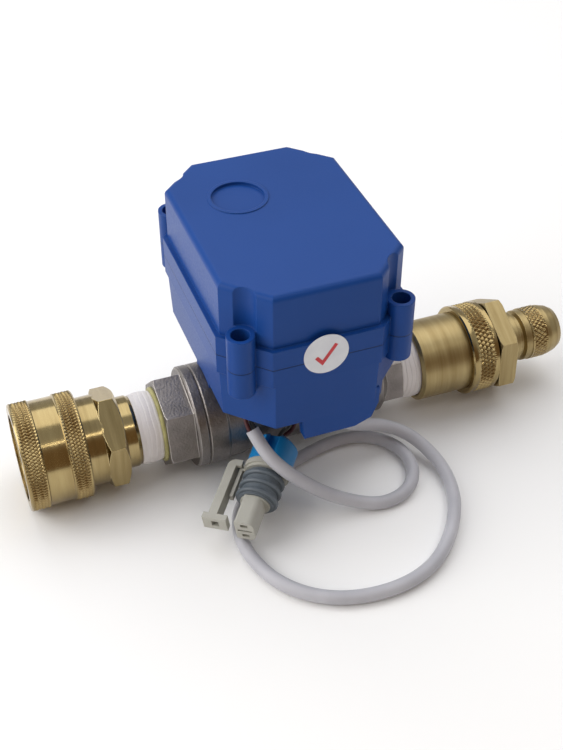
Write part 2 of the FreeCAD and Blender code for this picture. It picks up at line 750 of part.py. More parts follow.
# Posts for the gear plate and the seat of the idler axle
POST_SPOTS = {"front_left": (-1, -1), "front_right": (1, -1), "back_left": (-1, 1), "back_right": (1, 1)}
post_x = plate_half_width - post_radius
post_y = plate_half_depth - corner_cut + 1.0
floor_top = base_bottom + base_floor
posts = [
    cylinder(
        f"plate_post_{spot}", post_radius, plate_level - floor_top + 0.5,
        post_x * side_x, post_y * side_y, floor_top - 0.5,
    )
    for spot, (side_x, side_y) in POST_SPOTS.items()
]
idler_distance = (gear_teeth + pinion_teeth) * slow_module / 2 + mesh_slack
IDLER_ANGLE = math.radians(idler_direction.number)
idler_x = idler_distance * math.cos(IDLER_ANGLE)
idler_y = idler_distance * math.sin(IDLER_ANGLE)
axle_seat = cylinder("idler_axle_seat", axle_radius * 2.2, 1.0, idler_x, idler_y, floor_top - 0.2)
axle_hole = cylinder(
    "idler_axle_hole", axle_radius + 0.02, 3.0, idler_x, idler_y, floor_top - 2.0,
)
base_solid = fuse("base_solid", tub, tab, saddles, axle_seat, *posts)
node(cut("base_finished", base_solid, axle_hole), "actuator_base")

# Actuator cover: skirted hood with screw channels down its corners and a round top recess
cover = new_body("cover_hood")
skirt = draw_polygon(
    sketch_on(cover, "cover_skirt_outline", "XY_Plane", seam_height),
    octagon(housing_half_width + skirt_outset, housing_half_depth + skirt_outset, skirt_corner),
)
pad(cover, skirt, skirt_height - seam_height, "cover_skirt")
hood = draw_polygon(
    sketch_on(cover, "cover_hood_outline", "XY_Plane", seam_height),
    octagon(housing_half_width, housing_half_depth, corner_cut),
)
hood_pad = pad(cover, hood, cover_height - seam_height, "cover_upper")
put(cover)
doc.recompute()
top_edges = [
    f"Edge{number}"
    for number, edge in enumerate(hood_pad.Shape.Edges, 1)
    if all(abs(vertex.Z - cover_height.number) < 1e-4 for vertex in edge.Vertexes)
]
rounding = cover.newObject("PartDesign::Fillet", "cover_rounding")
rounding.Base = (hood_pad, top_edges)
bind(rounding, "Radius", edge_round)
for corner, (side_x, side_y) in CORNERS.items():
    channel = draw_circle(
        sketch_on(cover, f"cover_channel_{corner}_outline", "XY_Plane", cover_height),
        boss_x * side_x, boss_y * side_y, boss_channel_radius,
    )
    pocket(cover, channel, cover_height - boss_top, f"cover_channel_{corner}")
cover_cavity = draw_polygon(
    sketch_on(cover, "cover_cavity_outline", "XY_Plane", seam_height),
    octagon(cavity_half_width, cavity_half_depth, cavity_corner + 1.2),
)
pocket(cover, cover_cavity, cover_height - seam_height - housing_wall, "cover_cavity", reverse=True)
for corner, (side_x, side_y) in CORNERS.items():
    boss = draw_circle(
        sketch_on(cover, f"cover_boss_{corner}_outline", "XY_Plane", seam_height),
        boss_x * side_x, boss_y * side_y, boss_radius,
    )
    pad(cover, boss, boss_top - seam_height, f"cover_boss_{corner}")
for corner, (side_x, side_y) in CORNERS.items():
    well = draw_circle(
        sketch_on(cover, f"cover_well_{corner}_outline", "XY_Plane", boss_top),
        boss_x * side_x, boss_y * side_y, boss_hole_radius,
    )
    pocket(cover, well, boss_top - boss_shelf, f"cover_well_{corner}")
    hole = draw_circle(
        sketch_on(cover, f"cover_hole_{corner}_outline", "XY_Plane", boss_shelf),
        boss_x * side_x, boss_y * side_y, screw_radius + loose_gap,
    )
    pocket(cover, hole, boss_shelf - seam_height, f"cover_hole_{corner}")
rim = draw_circle(
    sketch_on(cover, "cover_rim_outline", "XY_Plane", cover_height - 0.5),
    recess_x, recess_y, recess_radius + recess_rim,
)
pad(cover, rim, recess_rim_height + 0.5, "cover_rim")
recess = draw_circle(
    sketch_on(cover, "cover_recess_outline", "XY_Plane", cover_height + recess_rim_height),
    recess_x, recess_y, recess_radius,
)
pocket(cover, recess, recess_depth + recess_rim_height, "cover_recess")
node(cover, "actuator_cover")

# Screws that hold the cover, sunk in the corner wells
HEX_SOCKET_SHARE = 0.5
for corner, (side_x, side_y) in CORNERS.items():
    head = cylinder(
        f"cover_screw_head_{corner}", screw_head_radius, screw_head_height,
        boss_x * side_x, boss_y * side_y, boss_shelf,
    )
    shank = cylinder(
        f"cover_screw_shank_{corner}", screw_radius, screw_length,
        boss_x * side_x, boss_y * side_y, boss_shelf - screw_length + 0.2,
    )
    socket = doc.addObject("Part::Prism", f"cover_screw_socket_{corner}")
    socket.Polygon = 6
    bind(socket, "Circumradius", screw_head_radius * HEX_SOCKET_SHARE)
    bind(socket, "Height", screw_head_height)
    put(socket, boss_x * side_x, boss_y * side_y, boss_shelf + screw_head_height / 2)
    screw = fuse(f"cover_screw_solid_{corner}", head, shank)
    node(cut(f"cover_screw_cut_{corner}", screw, socket), f"cover_screw_{corner}")

# Screws that clamp the base to the valve's pad
for side, direction in (("left", -1), ("right", 1)):
    head = cylinder(
        f"base_screw_head_{side}", screw_head_radius, screw_head_height * 0.8,
        pad_width * PAD_SCREW_SHARE * direction, 0, floor_top,
    )
    shank = cylinder(
        f"base_screw_shank_{side}", screw_radius - running_gap, base_floor + pad_thickness - 0.3,
        pad_width * PAD_SCREW_SHARE * direction, 0, base_bottom - pad_thickness + 0.5,
    )
    node(fuse(f"base_screw_solid_{side}", head, shank), f"base_screw_{side}")


# Gears: flanks by the involute of the base circle, tips and roots kept clear of the mate
PRESSURE_ANGLE = math.radians(20)
TOOTH_SHARE = 0.47
ADDENDUM = 0.9
DEDENDUM = 1.2


def gear_outline(teeth, module, phase):
    """Closed wire of a spur gear about the origin, one tooth centred on the phase angle."""
    pitch_radius = teeth * module / 2
    base_radius = pitch_radius * math.cos(PRESSURE_ANGLE)
    tip_radius = pitch_radius + ADDENDUM * module
    root_radius = pitch_radius - DEDENDUM * module
    involute = math.tan(PRESSURE_ANGLE) - PRESSURE_ANGLE
    half_tooth = TOOTH_SHARE * math.pi / teeth
    flank = []
    for step in range(4):
        radius = max(base_radius, root_radius) + (tip_radius - max(base_radius, root_radius)) * step / 3
        roll = math.acos(min(1.0, base_radius / radius))
        flank.append((radius, half_tooth + involute - (math.tan(roll) - roll)))
    if root_radius < base_radius:
        flank.insert(0, (root_radius, flank[0][1]))
    spots = []
    for tooth in range(teeth):
        middle = phase + 2 * math.pi * tooth / teeth
        spots += [(radius, middle - angle) for radius, angle in flank]
        spots += [(radius, middle + angle) for radius, angle in reversed(flank)]
    ring = [Vector(radius * math.cos(angle), radius * math.sin(angle), 0) for radius, angle in spots]
    return Part.makePolygon(ring + ring[:1])


def gear_solid(teeth, module, width, level, phase):
    """Toothed disc that starts at a level above the pipe axis."""
    face = Part.Face(gear_outline(int(teeth.number), module.number, phase))
    disc = face.extrude(Vector(0, 0, width.number))
    disc.translate(Vector(0, 0, level.number))
    return disc


def shaped(name, shape, x=0, y=0, z=0, turn=None):
    """Part::Feature for a form that sketches and primitives don't fit."""
    feature = doc.addObject("Part::Feature", name)
    feature.Shape = shape
    return put(feature, x, y, z, turn)


def bar_shape(radius, height, level):
    """Round bar on the local Z axis, as a bare shape."""
    return Part.makeCylinder(radius.number, height.number, Vector(0, 0, level.number))


# Output gear: wheel and hub on the stem's square, carried in the base
hub_bottom = base_bottom + 0.2
hub_top = plate_level + plate_thickness + cam_thickness + 1.0
output_wheel = gear_solid(gear_teeth, slow_module, slow_gear_width, slow_gear_level, 0)
hub = bar_shape(hub_radius, hub_top - hub_bottom, hub_bottom)
key = stem_square / 2 + running_gap
square_socket = Part.makeBox(
    key.number * 2, key.number * 2, (stem_top - base_bottom).number + 1,
    Vector(-key.number, -key.number, base_bottom.number - 0.5),
)
flat_cut = Part.makeBox(
    hub_radius.number * 2, hub_radius.number, (cam_thickness + 1.2).number,
    Vector(-hub_radius.number, hub_radius.number * 0.72, (plate_level + plate_thickness).number),
)
output_gear = output_wheel.fuse(hub).cut(square_socket).cut(flat_cut)
node(shaped("output_gear_solid", output_gear), "output_gear")

# Limit cam: disc with one lobe, keyed on the hub's flat above the plate
CAM_LOBE_ANGLE = -45.0
CAM_LOBE_SPAN = 36.0
cam_level = plate_level + plate_thickness + 0.4
lobe_corners = []
for step in range(7):
    angle = math.radians(CAM_LOBE_ANGLE - CAM_LOBE_SPAN / 2 + CAM_LOBE_SPAN * step / 6)
    reach = cam_lobe_radius.number if 0 < step < 6 else cam_radius.number - 0.2
    lobe_corners.append(Vector(reach * math.cos(angle), reach * math.sin(angle), 0))
lobe = Part.Face(Part.makePolygon([Vector(), *lobe_corners, Vector()])).extrude(
    Vector(0, 0, cam_thickness.number))
lobe.translate(Vector(0, 0, cam_level.number))
cam_bore = bar_shape(hub_radius + running_gap, cam_thickness, cam_level).common(
    Part.makeBox(
        hub_radius.number * 4, hub_radius.number * 2.72 + running_gap.number, 60,
        Vector(-hub_radius.number * 2, -hub_radius.number * 2, 0),
    ))
cam = bar_shape(cam_radius, cam_thickness, cam_level).fuse(lobe).cut(cam_bore)
node(shaped("limit_cam_solid", cam.removeSplitter()), "limit_cam")

# Idler: large wheel driven by the motor and a pinion that drives the output gear
slow_mesh_phase = math.pi + IDLER_ANGLE - math.pi / int(pinion_teeth.number)
# A tooth gap of the output wheel must face a tooth of the pinion along the line of centres
output_tooth = (IDLER_ANGLE * int(gear_teeth.number) / (2 * math.pi)) % 1
slow_mesh_phase = (
    math.pi + IDLER_ANGLE
    + (output_tooth + 0.5) * 2 * math.pi / int(pinion_teeth.number)
)
idler_wheel = gear_solid(idler_teeth, fast_module, fast_gear_width, fast_gear_level, 0)
idler_pinion = gear_solid(
    pinion_teeth, slow_module, fast_gear_level - slow_gear_level + 0.2, slow_gear_level, slow_mesh_phase,
)
idler_hole = bar_shape(axle_radius + running_gap, plate_level, as_dim(0))
idler = idler_wheel.fuse(idler_pinion).cut(idler_hole)
node(shaped("idler_solid", idler, idler_x, idler_y), "idler_gear")
node(
    cylinder(
        "idler_axle_bar", axle_radius, plate_level + plate_thickness + 0.4 - floor_top + 1.9,
        idler_x, idler_y, floor_top - 1.9,
    ),
    "idler_axle",
)

# Motor pinion on the gear motor's shaft
motor_distance = (idler_teeth + pinion_teeth) * fast_module / 2 + mesh_slack
MOTOR_ANGLE = math.radians(motor_direction.number)
shaft_x = idler_x + motor_distance * math.cos(MOTOR_ANGLE)
shaft_y = idler_y + motor_distance * math.sin(MOTOR_ANGLE)
idler_tooth = (MOTOR_ANGLE * int(idler_teeth.number) / (2 * math.pi)) % 1
fast_mesh_phase = (
    math.pi + MOTOR_ANGLE
    + (idler_tooth + 0.5) * 2 * math.pi / int(pinion_teeth.number)
)
SHAFT_SHARE = 1.4
motor_shaft_radius = axle_radius * SHAFT_SHARE * 0.9
pinion = gear_solid(pinion_teeth, fast_module, fast_gear_width, fast_gear_level, fast_mesh_phase)
shaft_level = fast_gear_level + fast_gear_width - 0.2
pinion_shaft = bar_shape(motor_shaft_radius, plate_level + plate_thickness + 3.0 - shaft_level, shaft_level)
node(shaped("motor_pinion_solid", pinion.fuse(pinion_shaft), shaft_x, shaft_y), "motor_pinion")

# Gear plate, with holes for hub, axle and motor shaft and posts for the circuit board
plate = new_body("plate")
plate_outline = draw_polygon(
    sketch_on(plate, "plate_outline", "XY_Plane", plate_level),
    octagon(plate_half_width, plate_half_depth, corner_cut),
)
pad(plate, plate_outline, plate_thickness, "plate_pad")
for label, hole_x, hole_y, hole_radius in (
    ("hub", 0, 0, hub_radius + loose_gap),
    ("axle", idler_x, idler_y, axle_radius + running_gap),
    ("shaft", shaft_x, shaft_y, motor_shaft_radius + loose_gap),
):
    hole = draw_circle(
        sketch_on(plate, f"plate_hole_{label}_outline", "XY_Plane", plate_level + plate_thickness),
        hole_x, hole_y, hole_radius,
    )
    pocket(plate, hole, plate_thickness, f"plate_hole_{label}")
board_rear = -board_rear_inset
board_post_x = board_width / 2 - 1.8
BOARD_POSTS = {"left_front": (-1, 1), "right_front": (1, 1), "left_back": (-1, 0), "right_back": (1, 0)}
for spot, (side_x, is_front) in BOARD_POSTS.items():
    post = draw_circle(
        sketch_on(plate, f"board_post_{spot}_outline", "XY_Plane", plate_level + plate_thickness),
        board_post_x * side_x, board_rear - 5.5 - (board_depth - 9.5) * is_front, post_radius * 0.8,
    )
    pad(plate, post, board_level - plate_level - plate_thickness, f"board_post_{spot}")
node(put(plate), "gear_plate")

# Gear motor: gearhead on the plate, motor can and its rear bearing hub
gearhead_x = shaft_x - motor_offset
gearhead_y = shaft_y + motor_offset * 0.6
gearhead_level = plate_level + plate_thickness
gearhead = cylinder("gearhead", gearhead_radius, gearhead_height, gearhead_x, gearhead_y, gearhead_level)
can = cylinder(
    "motor_can", motor_radius, motor_height, gearhead_x, gearhead_y, gearhead_level + gearhead_height,
)
bearing = cylinder(
    "motor_bearing", motor_radius * 0.35, 1.2, gearhead_x, gearhead_y,
    gearhead_level + gearhead_height + motor_height,
)
shaft_bore = cylinder(
    "motor_shaft_bore", motor_shaft_radius + running_gap, 3.4, shaft_x, shaft_y, gearhead_level,
)
node(cut("motor", fuse("motor_solid", gearhead, can, bearing), shaft_bore), "gear_motor")

# Limit switches at both ends of the quarter turn, each with its sprung plunger
SWITCHES = {"open": -45.0, "closed": -135.0}
switch_face = cam_lobe_radius + 0.2 + plunger_reach
for label, direction in SWITCHES.items():
    turn = Rotation(Vector(0, 0, 1), direction)
    half = switch_width.number / 2
    case = Part.makeBox(
        switch_length.number, switch_width.number, switch_height.number,
        Vector(switch_face.number, -half, 0),
    )
    well = Part.makeCylinder(
        (plunger_radius + running_gap).number, 3.0,
        Vector(switch_face.number, 0, switch_height.number / 2), Vector(1, 0, 0),
    )
    node(
        shaped(f"switch_{label}_case", case.cut(well), 0, 0, gearhead_level, turn),
        f"limit_switch_{label}",
    )
    plunger = Part.makeCylinder(
        plunger_radius.number, plunger_reach.number + 2.0,
        Vector((cam_lobe_radius + 0.2).number, 0, switch_height.number / 2), Vector(1, 0, 0),
    )
    node(
        shaped(f"switch_{label}_plunger", plunger, 0, 0, gearhead_level, turn),
        f"switch_plunger_{label}",
    )

# Circuit board over the switches, with a terminal block, a relay and a capacitor
board = block(
    "board", board_width, board_depth, board_thickness, -board_width / 2, board_rear - board_depth,
    board_level,
)
terminal_block = block(
    "terminal_block", terminal_block_length, terminal_block_width, terminal_block_height,
    -terminal_block_length / 2, board_rear - board_depth + 2, board_level + board_thickness,
)
relay = block(
    "relay", relay_length, relay_width, relay_height,
    relay_x, board_rear - relay_inset, board_level + board_thickness,
)
capacitor = cylinder(
    "capacitor", capacitor_radius, capacitor_height,
    capacitor_x, board_rear - capacitor_inset, board_level + board_thickness,
)
node(fuse("board_solid", board, terminal_block, relay, capacitor), "circuit_board")

# Cable gland: grommet through the base floor, behind the front tab
gland_flange = cylinder(
    "gland_flange", gland_radius, gland_length, gland_x, gland_y, base_bottom - gland_length,
)
gland_neck = cylinder(
    "gland_neck", gland_neck_radius, base_floor + 0.2, gland_x, gland_y, base_bottom - 0.1,
)
gland_lip = cylinder("gland_lip", gland_radius * 0.95, 1.2, gland_x, gland_y, floor_top)
node(fuse("gland_solid", gland_flange, gland_neck, gland_lip), "cable_gland")

# Inspection mark: thin round label on the skirt, its upper edge standing free above the step
node(cylinder(
    "mark_disc", mark_radius, mark_thickness,
    mark_x, -(housing_half_depth + skirt_outset), mark_height, Rotation(Vector(1, 0, 0), 90),
), "inspection_mark")


# Taped thread joints
def tape(name, start, length):
    """Wraps of sealing tape around a male thread, bulging in the middle."""
    return node(turned(name + "_wrap", [
        (start, thread_radius + 0.02), (start, tape_edge_radius), (start + length * 0.3, tape_radius),
        (start + length * 0.8, tape_radius - 0.1), (start + length, tape_edge_radius),
        (start + length, thread_radius + 0.02),
    ]), name)


tape("inlet_tape", coupler_collar_x, joint_gap - bead_length)
tape("outlet_tape", stub_face_x, outlet_gap + 1.5)
node(turned("sealant_ring", [
    (cap_face_x - bead_length, thread_radius + 0.02), (cap_face_x - bead_length, bead_radius - 0.5),
    (cap_face_x - bead_length * 0.5, bead_radius), (cap_face_x, bead_radius),
    (cap_face_x, thread_radius + 0.02),
]), "sealant_bead")

# Coupler body: male thread, collar, hexagon, neck and the tube that takes the nipple
tube_end_x = inlet_end_x + 0.6
spring_seat_x = sleeve_rear_x - 3.4
ball_station_x = inlet_end_x + lock_ball_station
coupler_outside = turned("coupler_outside", [
    (tube_end_x, 0), (tube_end_x, barrel_tube_radius - 0.6), (tube_end_x + 0.6, barrel_tube_radius),
    (spring_seat_x, barrel_tube_radius), (spring_seat_x, neck_radius), (coupler_neck_x, neck_radius),
    (coupler_hex_x, neck_radius - 1.2), (coupler_hex_x, collar_radius),
    (coupler_collar_x - 1.0, collar_radius), (coupler_collar_x, thread_radius),
    (cap_face_x + cap_thread_depth - 1.0, thread_radius), (cap_face_x + cap_thread_depth - 1.0, 0),
])
COUPLER_CLOCK = 4.3
coupler_hex = hexagon(
    "coupler_hexagon", coupler_hex_across, coupler_neck_x, coupler_hex_length, COUPLER_CLOCK,
    coupler_face_share,
)
socket_end_x = tube_end_x + socket_depth
seal_x = socket_end_x - 4.5
coupler_bore = turned("coupler_bore", [
    (tube_end_x, 0), (tube_end_x, mouth_radius + 0.8), (tube_end_x + 0.8, mouth_radius),
    (tube_end_x + mouth_depth, mouth_radius), (tube_end_x + mouth_depth, socket_radius),
    (seal_x - seal_section, socket_radius), (seal_x - seal_section, socket_radius + seal_section * 1.5),
    (seal_x + seal_section, socket_radius + seal_section * 1.5), (seal_x + seal_section, socket_radius),
    (socket_end_x, socket_radius), (socket_end_x, flow_radius + 1),
    (cap_face_x + cap_thread_depth - 1.0, flow_radius + 1), (cap_face_x + cap_thread_depth - 1.0, 0),
])
ring_x = ball_station_x - lock_ball_radius - 0.5 - stop_ring_width
ring_groove = turned("stop_ring_groove", [
    (ring_x, barrel_tube_radius - 0.6), (ring_x, barrel_tube_radius + 1),
    (ring_x + stop_ring_width, barrel_tube_radius + 1), (ring_x + stop_ring_width, barrel_tube_radius - 0.6),
])
ball_rise = barrel_tube_radius - lock_ball_radius
BALL_COUNT = int(lock_ball_count.number)
ball_holes = []
for number in range(BALL_COUNT):
    angle = 360.0 * number / BALL_COUNT + 15
    radial = Rotation(Vector(1, 0, 0), angle)
    hole = cylinder(
        f"lock_ball_hole_{number + 1}", lock_ball_radius + running_gap, barrel_tube_radius + 1,
        ball_station_x, 0, 0, radial,
    )
    ball_holes.append(hole)
coupler_solid = fuse("coupler_solid", coupler_outside, coupler_hex)
coupler_tools = fuse("coupler_tools", coupler_bore, ring_groove, *ball_holes)
node(cut("coupler", coupler_solid, coupler_tools), "coupler_body")

# Locking balls, held in by the sleeve's land
for number in range(BALL_COUNT):
    angle = math.radians(360.0 * number / BALL_COUNT + 15)
    lock_ball = doc.addObject("Part::Sphere", f"lock_ball_{number + 1}")
    bind(lock_ball, "Radius", lock_ball_radius)
    put(lock_ball, ball_station_x, ball_rise * -math.sin(angle), ball_rise * math.cos(angle))
    node(lock_ball, f"locking_ball_{number + 1}")

# Ring that stops the sleeve, and the seal inside the socket
node(turned("stop_ring", [
    (ring_x, barrel_tube_radius - 0.6), (ring_x, sleeve_recess_radius - loose_gap),
    (ring_x + stop_ring_width, sleeve_recess_radius - loose_gap),
    (ring_x + stop_ring_width, barrel_tube_radius - 0.6),
]), "sleeve_stop_ring")
nipple_seal = doc.addObject("Part::Torus", "nipple_seal")
bind(nipple_seal, "Radius1", socket_radius + seal_section * 0.45)
bind(nipple_seal, "Radius2", seal_section)
put(nipple_seal, seal_x, 0, 0, ALONG_PIPE)
node(nipple_seal, "coupler_seal")

# Sliding sleeve: two knurled bands with a plain waist, a land inside and a spring chamber
waist = sleeve_radius - sleeve_waist_drop
land_x = ball_station_x - land_length / 2
stop_step_x = ring_x + stop_ring_width + soft_gap
node(turned("sleeve", [
    (inlet_end_x, sleeve_recess_radius), (inlet_end_x, sleeve_radius - 0.7),
    (inlet_end_x + 0.7, sleeve_radius), (inlet_end_x + sleeve_band_front - 0.4, sleeve_radius),
    (inlet_end_x + sleeve_band_front, waist), (sleeve_rear_x - sleeve_band_rear, waist),
    (sleeve_rear_x - sleeve_band_rear + 0.4, sleeve_radius), (sleeve_rear_x - 0.8, sleeve_radius),
    (sleeve_rear_x, sleeve_radius - 0.8), (sleeve_rear_x, spring_chamber_radius),
    (land_x + land_length, spring_chamber_radius), (land_x + land_length, barrel_tube_radius + running_gap),
    (land_x, barrel_tube_radius + running_gap), (land_x, release_radius),
    (stop_step_x, release_radius), (stop_step_x, sleeve_recess_radius),
]), "coupler_sleeve")


# Sleeve spring: open coil of round wire between the land and the neck's shoulder
def tangent_arc(start, direction, stop):
    """Arc from start, leaving along direction, to stop."""
    chord = stop - start
    along = direction * chord.dot(direction)
    toward = (chord - along).normalize()
    radius = chord.Length ** 2 / (2 * chord.dot(toward))
    centre = start + toward * radius
    middle = centre + ((start - centre) + (stop - centre)).normalize() * radius
    return Part.Arc(start, middle, stop).toShape()


def biarc(start, start_direction, stop, stop_direction):
    """Two arcs that join smoothly between two points with given directions."""
    chord = stop - start
    square = 2 * (1 - start_direction.dot(stop_direction))
    linear = 2 * chord.dot(start_direction + stop_direction)
    reach = (math.sqrt(linear ** 2 + 4 * square * chord.Length ** 2) - linear) / (2 * square)
    middle = (start + start_direction * reach + stop - stop_direction * reach) / 2
    second = tangent_arc(stop, stop_direction.negative(), middle)
    return [tangent_arc(start, start_direction, middle), second]


def coil(radius, wire, length, turns):
    """Unbroken coil of round wire about the local Z axis, its wire centre between 0 and length."""
    pitch = length / turns
    rise = pitch / (2 * math.pi * radius)

    def spot(quarter):
        angle = quarter * math.pi / 2
        return Vector(radius * math.cos(angle), radius * math.sin(angle), pitch * quarter / 4)

    def heading(quarter):
        angle = quarter * math.pi / 2
        return Vector(-math.sin(angle), math.cos(angle), rise).normalize()

    edges = []
    for quarter in range(4 * turns):
        edges += biarc(spot(quarter), heading(quarter), spot(quarter + 1), heading(quarter + 1))
    section = Part.Wire([Part.makeCircle(wire, spot(0), heading(0))])
    tube = Part.Wire(edges).makePipeShell([section], True, False)
    points = [point for edge in edges for point in edge.discretize(6)[:-1]]
    near = min(
        (here - there).Length
        for number, here in enumerate(points)
        for there in points[number + 24:]
    )
    print(f"coil of {turns} turns: least gap to itself {near - 2 * wire:.2f} mm")
    return tube


coil_radius = (barrel_tube_radius + spring_chamber_radius) / 2
coil_start = land_x + land_length + spring_wire_radius + 0.1
coil_length = spring_seat_x - spring_wire_radius - 0.1 - coil_start
spring_solid = coil(
    coil_radius.number, spring_wire_radius.number, coil_length.number, int(spring_turns.number),
)
node(shaped("spring_coil", spring_solid, coil_start, 0, 0, ALONG_PIPE), "sleeve_spring")

# Outlet adapter: plain brass barrel with a female thread and a spigot for the union ring
spigot_x = adapter_x + adapter_length
adapter_end_x = spigot_x + adapter_spigot_length
thread_end_x = stub_face_x + stub_thread_length + 0.5
node(turned("adapter", [
    (adapter_x, tape_radius + loose_gap), (adapter_x, adapter_radius - adapter_bevel),
    (adapter_x + adapter_bevel, adapter_radius), (spigot_x, adapter_radius),
    (spigot_x, adapter_spigot_radius), (adapter_end_x, adapter_spigot_radius),
    (adapter_end_x, flow_radius + 1), (thread_end_x, flow_radius + 1),
    (thread_end_x, thread_radius + loose_gap), (adapter_x + 2.0, thread_radius + loose_gap),
    (adapter_x + 1.6, tape_radius + loose_gap),
]), "outlet_adapter")

# Union ring: plain rim, knurled band and bead, screwed on the adapter's spigot
knurl_x = union_x + union_rim_length
bead_x = knurl_x + union_knurl_length
flange_x = adapter_end_x + gasket_thickness
lip_radius = nipple_neck_radius + 1.6
node(turned("union", [
    (union_x, adapter_radius + running_gap), (union_x, union_radius - 0.4), (union_x + 0.4, union_radius),
    (knurl_x - 0.3, union_radius), (knurl_x, union_radius - 0.35), (bead_x, union_radius - 0.35),
    (bead_x + 0.3, union_radius - 0.1), (union_end_x - 0.3, union_radius - 0.3),
    (union_end_x, union_radius - 0.9), (union_end_x, lip_radius + running_gap),
    (flange_x + flange_thickness + running_gap, lip_radius + running_gap),
    (flange_x + flange_thickness + running_gap, adapter_spigot_radius + running_gap),
    (spigot_x + running_gap, adapter_spigot_radius + running_gap),
    (spigot_x + running_gap, adapter_radius + running_gap),
]), "union_ring")
node(turned("union_gasket_ring", [
    (adapter_end_x, flow_radius + 1.4), (adapter_end_x, adapter_spigot_radius - 0.4),
    (flange_x, adapter_spigot_radius - 0.4), (flange_x, flow_radius + 1.4),
]), "union_gasket")

# Plug nipple: flange held by the union, hexagon, locking groove, grip band and tapered nose
collar_x = nipple_x + nipple_neck_length
groove_x = collar_x + nipple_collar_length
band_x = groove_x + nipple_groove_length
nose_x = band_x + nipple_band_length
plug_outside = turned("plug_outside", [
    (flange_x, 0), (flange_x, adapter_spigot_radius - running_gap),
    (flange_x + flange_thickness, adapter_spigot_radius - running_gap),
    (flange_x + flange_thickness, lip_radius), (nipple_x, lip_radius),
    (nipple_x, nipple_neck_radius + 0.6), (collar_x - 0.6, nipple_neck_radius),
    (collar_x, nipple_radius - 0.3), (collar_x + 0.3, nipple_radius), (groove_x, nipple_radius),
    (groove_x + nipple_groove_length * 0.3, nipple_radius - 1.3),
    (groove_x + nipple_groove_length * 0.7, nipple_radius - 1.3), (band_x, nipple_radius),
    (nose_x, nipple_radius), (nose_x + nipple_nose_length * 0.6, nipple_radius - 0.7),
    (outlet_end_x, nipple_nose_radius), (outlet_end_x, 0),
])
PLUG_CLOCK = -4.2
plug_hex = hexagon(
    "plug_hexagon", plug_hex_across, plug_hex_x, plug_hex_length, PLUG_CLOCK, hex_face_share,
)
plug_bore = turned("plug_bore", [
    (flange_x, 0), (flange_x, flow_radius), (outlet_end_x - 1.0, flow_radius),
    (outlet_end_x, flow_radius + 0.8), (outlet_end_x, 0),
])
node(cut("plug", fuse("plug_solid", plug_outside, plug_hex), plug_bore), "plug_nipple")

# Connector: its own frame points from the seal's middle along the nose
CONNECTOR_SPOT = Vector(-25.75, -33.37, 11.48)
CONNECTOR_AHEAD = Vector(-0.599, -0.787, -0.148)
CONNECTOR_ROLL = 5.0
ahead = CONNECTOR_AHEAD.normalize()
sideways = Vector(0, 0, 1).cross(ahead).normalize()
upward = ahead.cross(sideways).normalize()
CONNECTOR_TURN = Rotation(ahead, sideways, upward, "XYZ") * Rotation(Vector(1, 0, 0), CONNECTOR_ROLL)


def lie(name, shape):
    """Piece of the connector, placed where the connector lies."""
    feature = doc.addObject("Part::Feature", name)
    feature.Shape = shape
    feature.Placement = Placement(CONNECTOR_SPOT, CONNECTOR_TURN)
    return feature


def slab(x_low, x_high, y_low, y_high, z_low, z_high):
    """Block between two corners of the connector's frame."""
    low = [as_dim(value).number for value in (x_low, y_low, z_low)]
    high = [as_dim(value).number for value in (x_high, y_high, z_high)]
    return Part.makeBox(high[0] - low[0], high[1] - low[1], high[2] - low[2], Vector(*low))


def oval_bar(x_low, x_high, width, ratio):
    """Bar along the connector with an oval section, wider across than it is high."""
    low = as_dim(x_low).number
    high = as_dim(x_high).number
    wide = as_dim(width).number / 2
    tall = wide * as_dim(ratio).number
    if wide > tall:
        ellipse = Part.Ellipse(Vector(low, 0, 0), wide, tall)
        turn = Placement(Vector(low, 0, 0), Rotation(Vector(0, 1, 0), Vector(0, 0, 1), Vector(1, 0, 0), "XYZ"))
    else:
        ellipse = Part.Ellipse(Vector(low, 0, 0), tall, wide)
        turn = Placement(Vector(low, 0, 0), Rotation(Vector(0, 0, 1), Vector(0, -1, 0), Vector(1, 0, 0), "XYZ"))
    ellipse.Center = Vector(0, 0, 0)
    edge = ellipse.toShape()
    edge.Placement = turn
    return Part.Face(Part.Wire([edge])).extrude(Vector(high - low, 0, 0))


core_front = core_length / 2 - 0.6
core_rear = -core_length / 2 - 0.6
collar_rear = core_rear - collar_depth
nose_end = core_front + nose_length
core_width = rib_width * 0.7

# Connector body: nose with two contact cavities, core under the seal, collar and inner rail
nose = slab(core_front - 0.5, nose_end, -nose_width / 2, nose_width / 2, -nose_height / 2, nose_height / 2)
long_edges = [edge for edge in nose.Edges if abs(edge.tangentAt(edge.FirstParameter).x) > 0.99]
right_upper = [edge for edge in long_edges if edge.CenterOfMass.y > 0]
nose = nose.makeFillet(nose_width.number * 0.36, right_upper)
left_edges = [
    edge for edge in nose.Edges
    if edge.CenterOfMass.y < -nose_width.number / 2 + 0.01
    and abs(edge.tangentAt(edge.FirstParameter).x) > 0.99
]
nose = nose.makeFillet(nose_width.number * 0.12, left_edges)
core = oval_bar(core_rear - 0.5, core_front, core_width, collar_ratio)
collar = oval_bar(collar_rear, core_rear, collar_width, collar_ratio)
flange = oval_bar(collar_rear, collar_rear + 1.8, collar_width + 1.4, collar_ratio)
rail = slab(
    collar_rear + 1.0, core_front - 1.0, -latch_offset + 2.2, -latch_offset + 3.2,
    -latch_width * 0.2, latch_width * 0.2,
)
rail_root = slab(
    collar_rear + 1.0, collar_rear + 2.4, -latch_offset + 2.2, -collar_width / 2 + 0.4,
    -latch_width * 0.2, latch_width * 0.2,
)
connector = nose.multiFuse([core, collar, flange, rail, rail_root])
cavity_half = terminal_width / 2 + loose_gap
cavity_rise = terminal_height / 2 + loose_gap
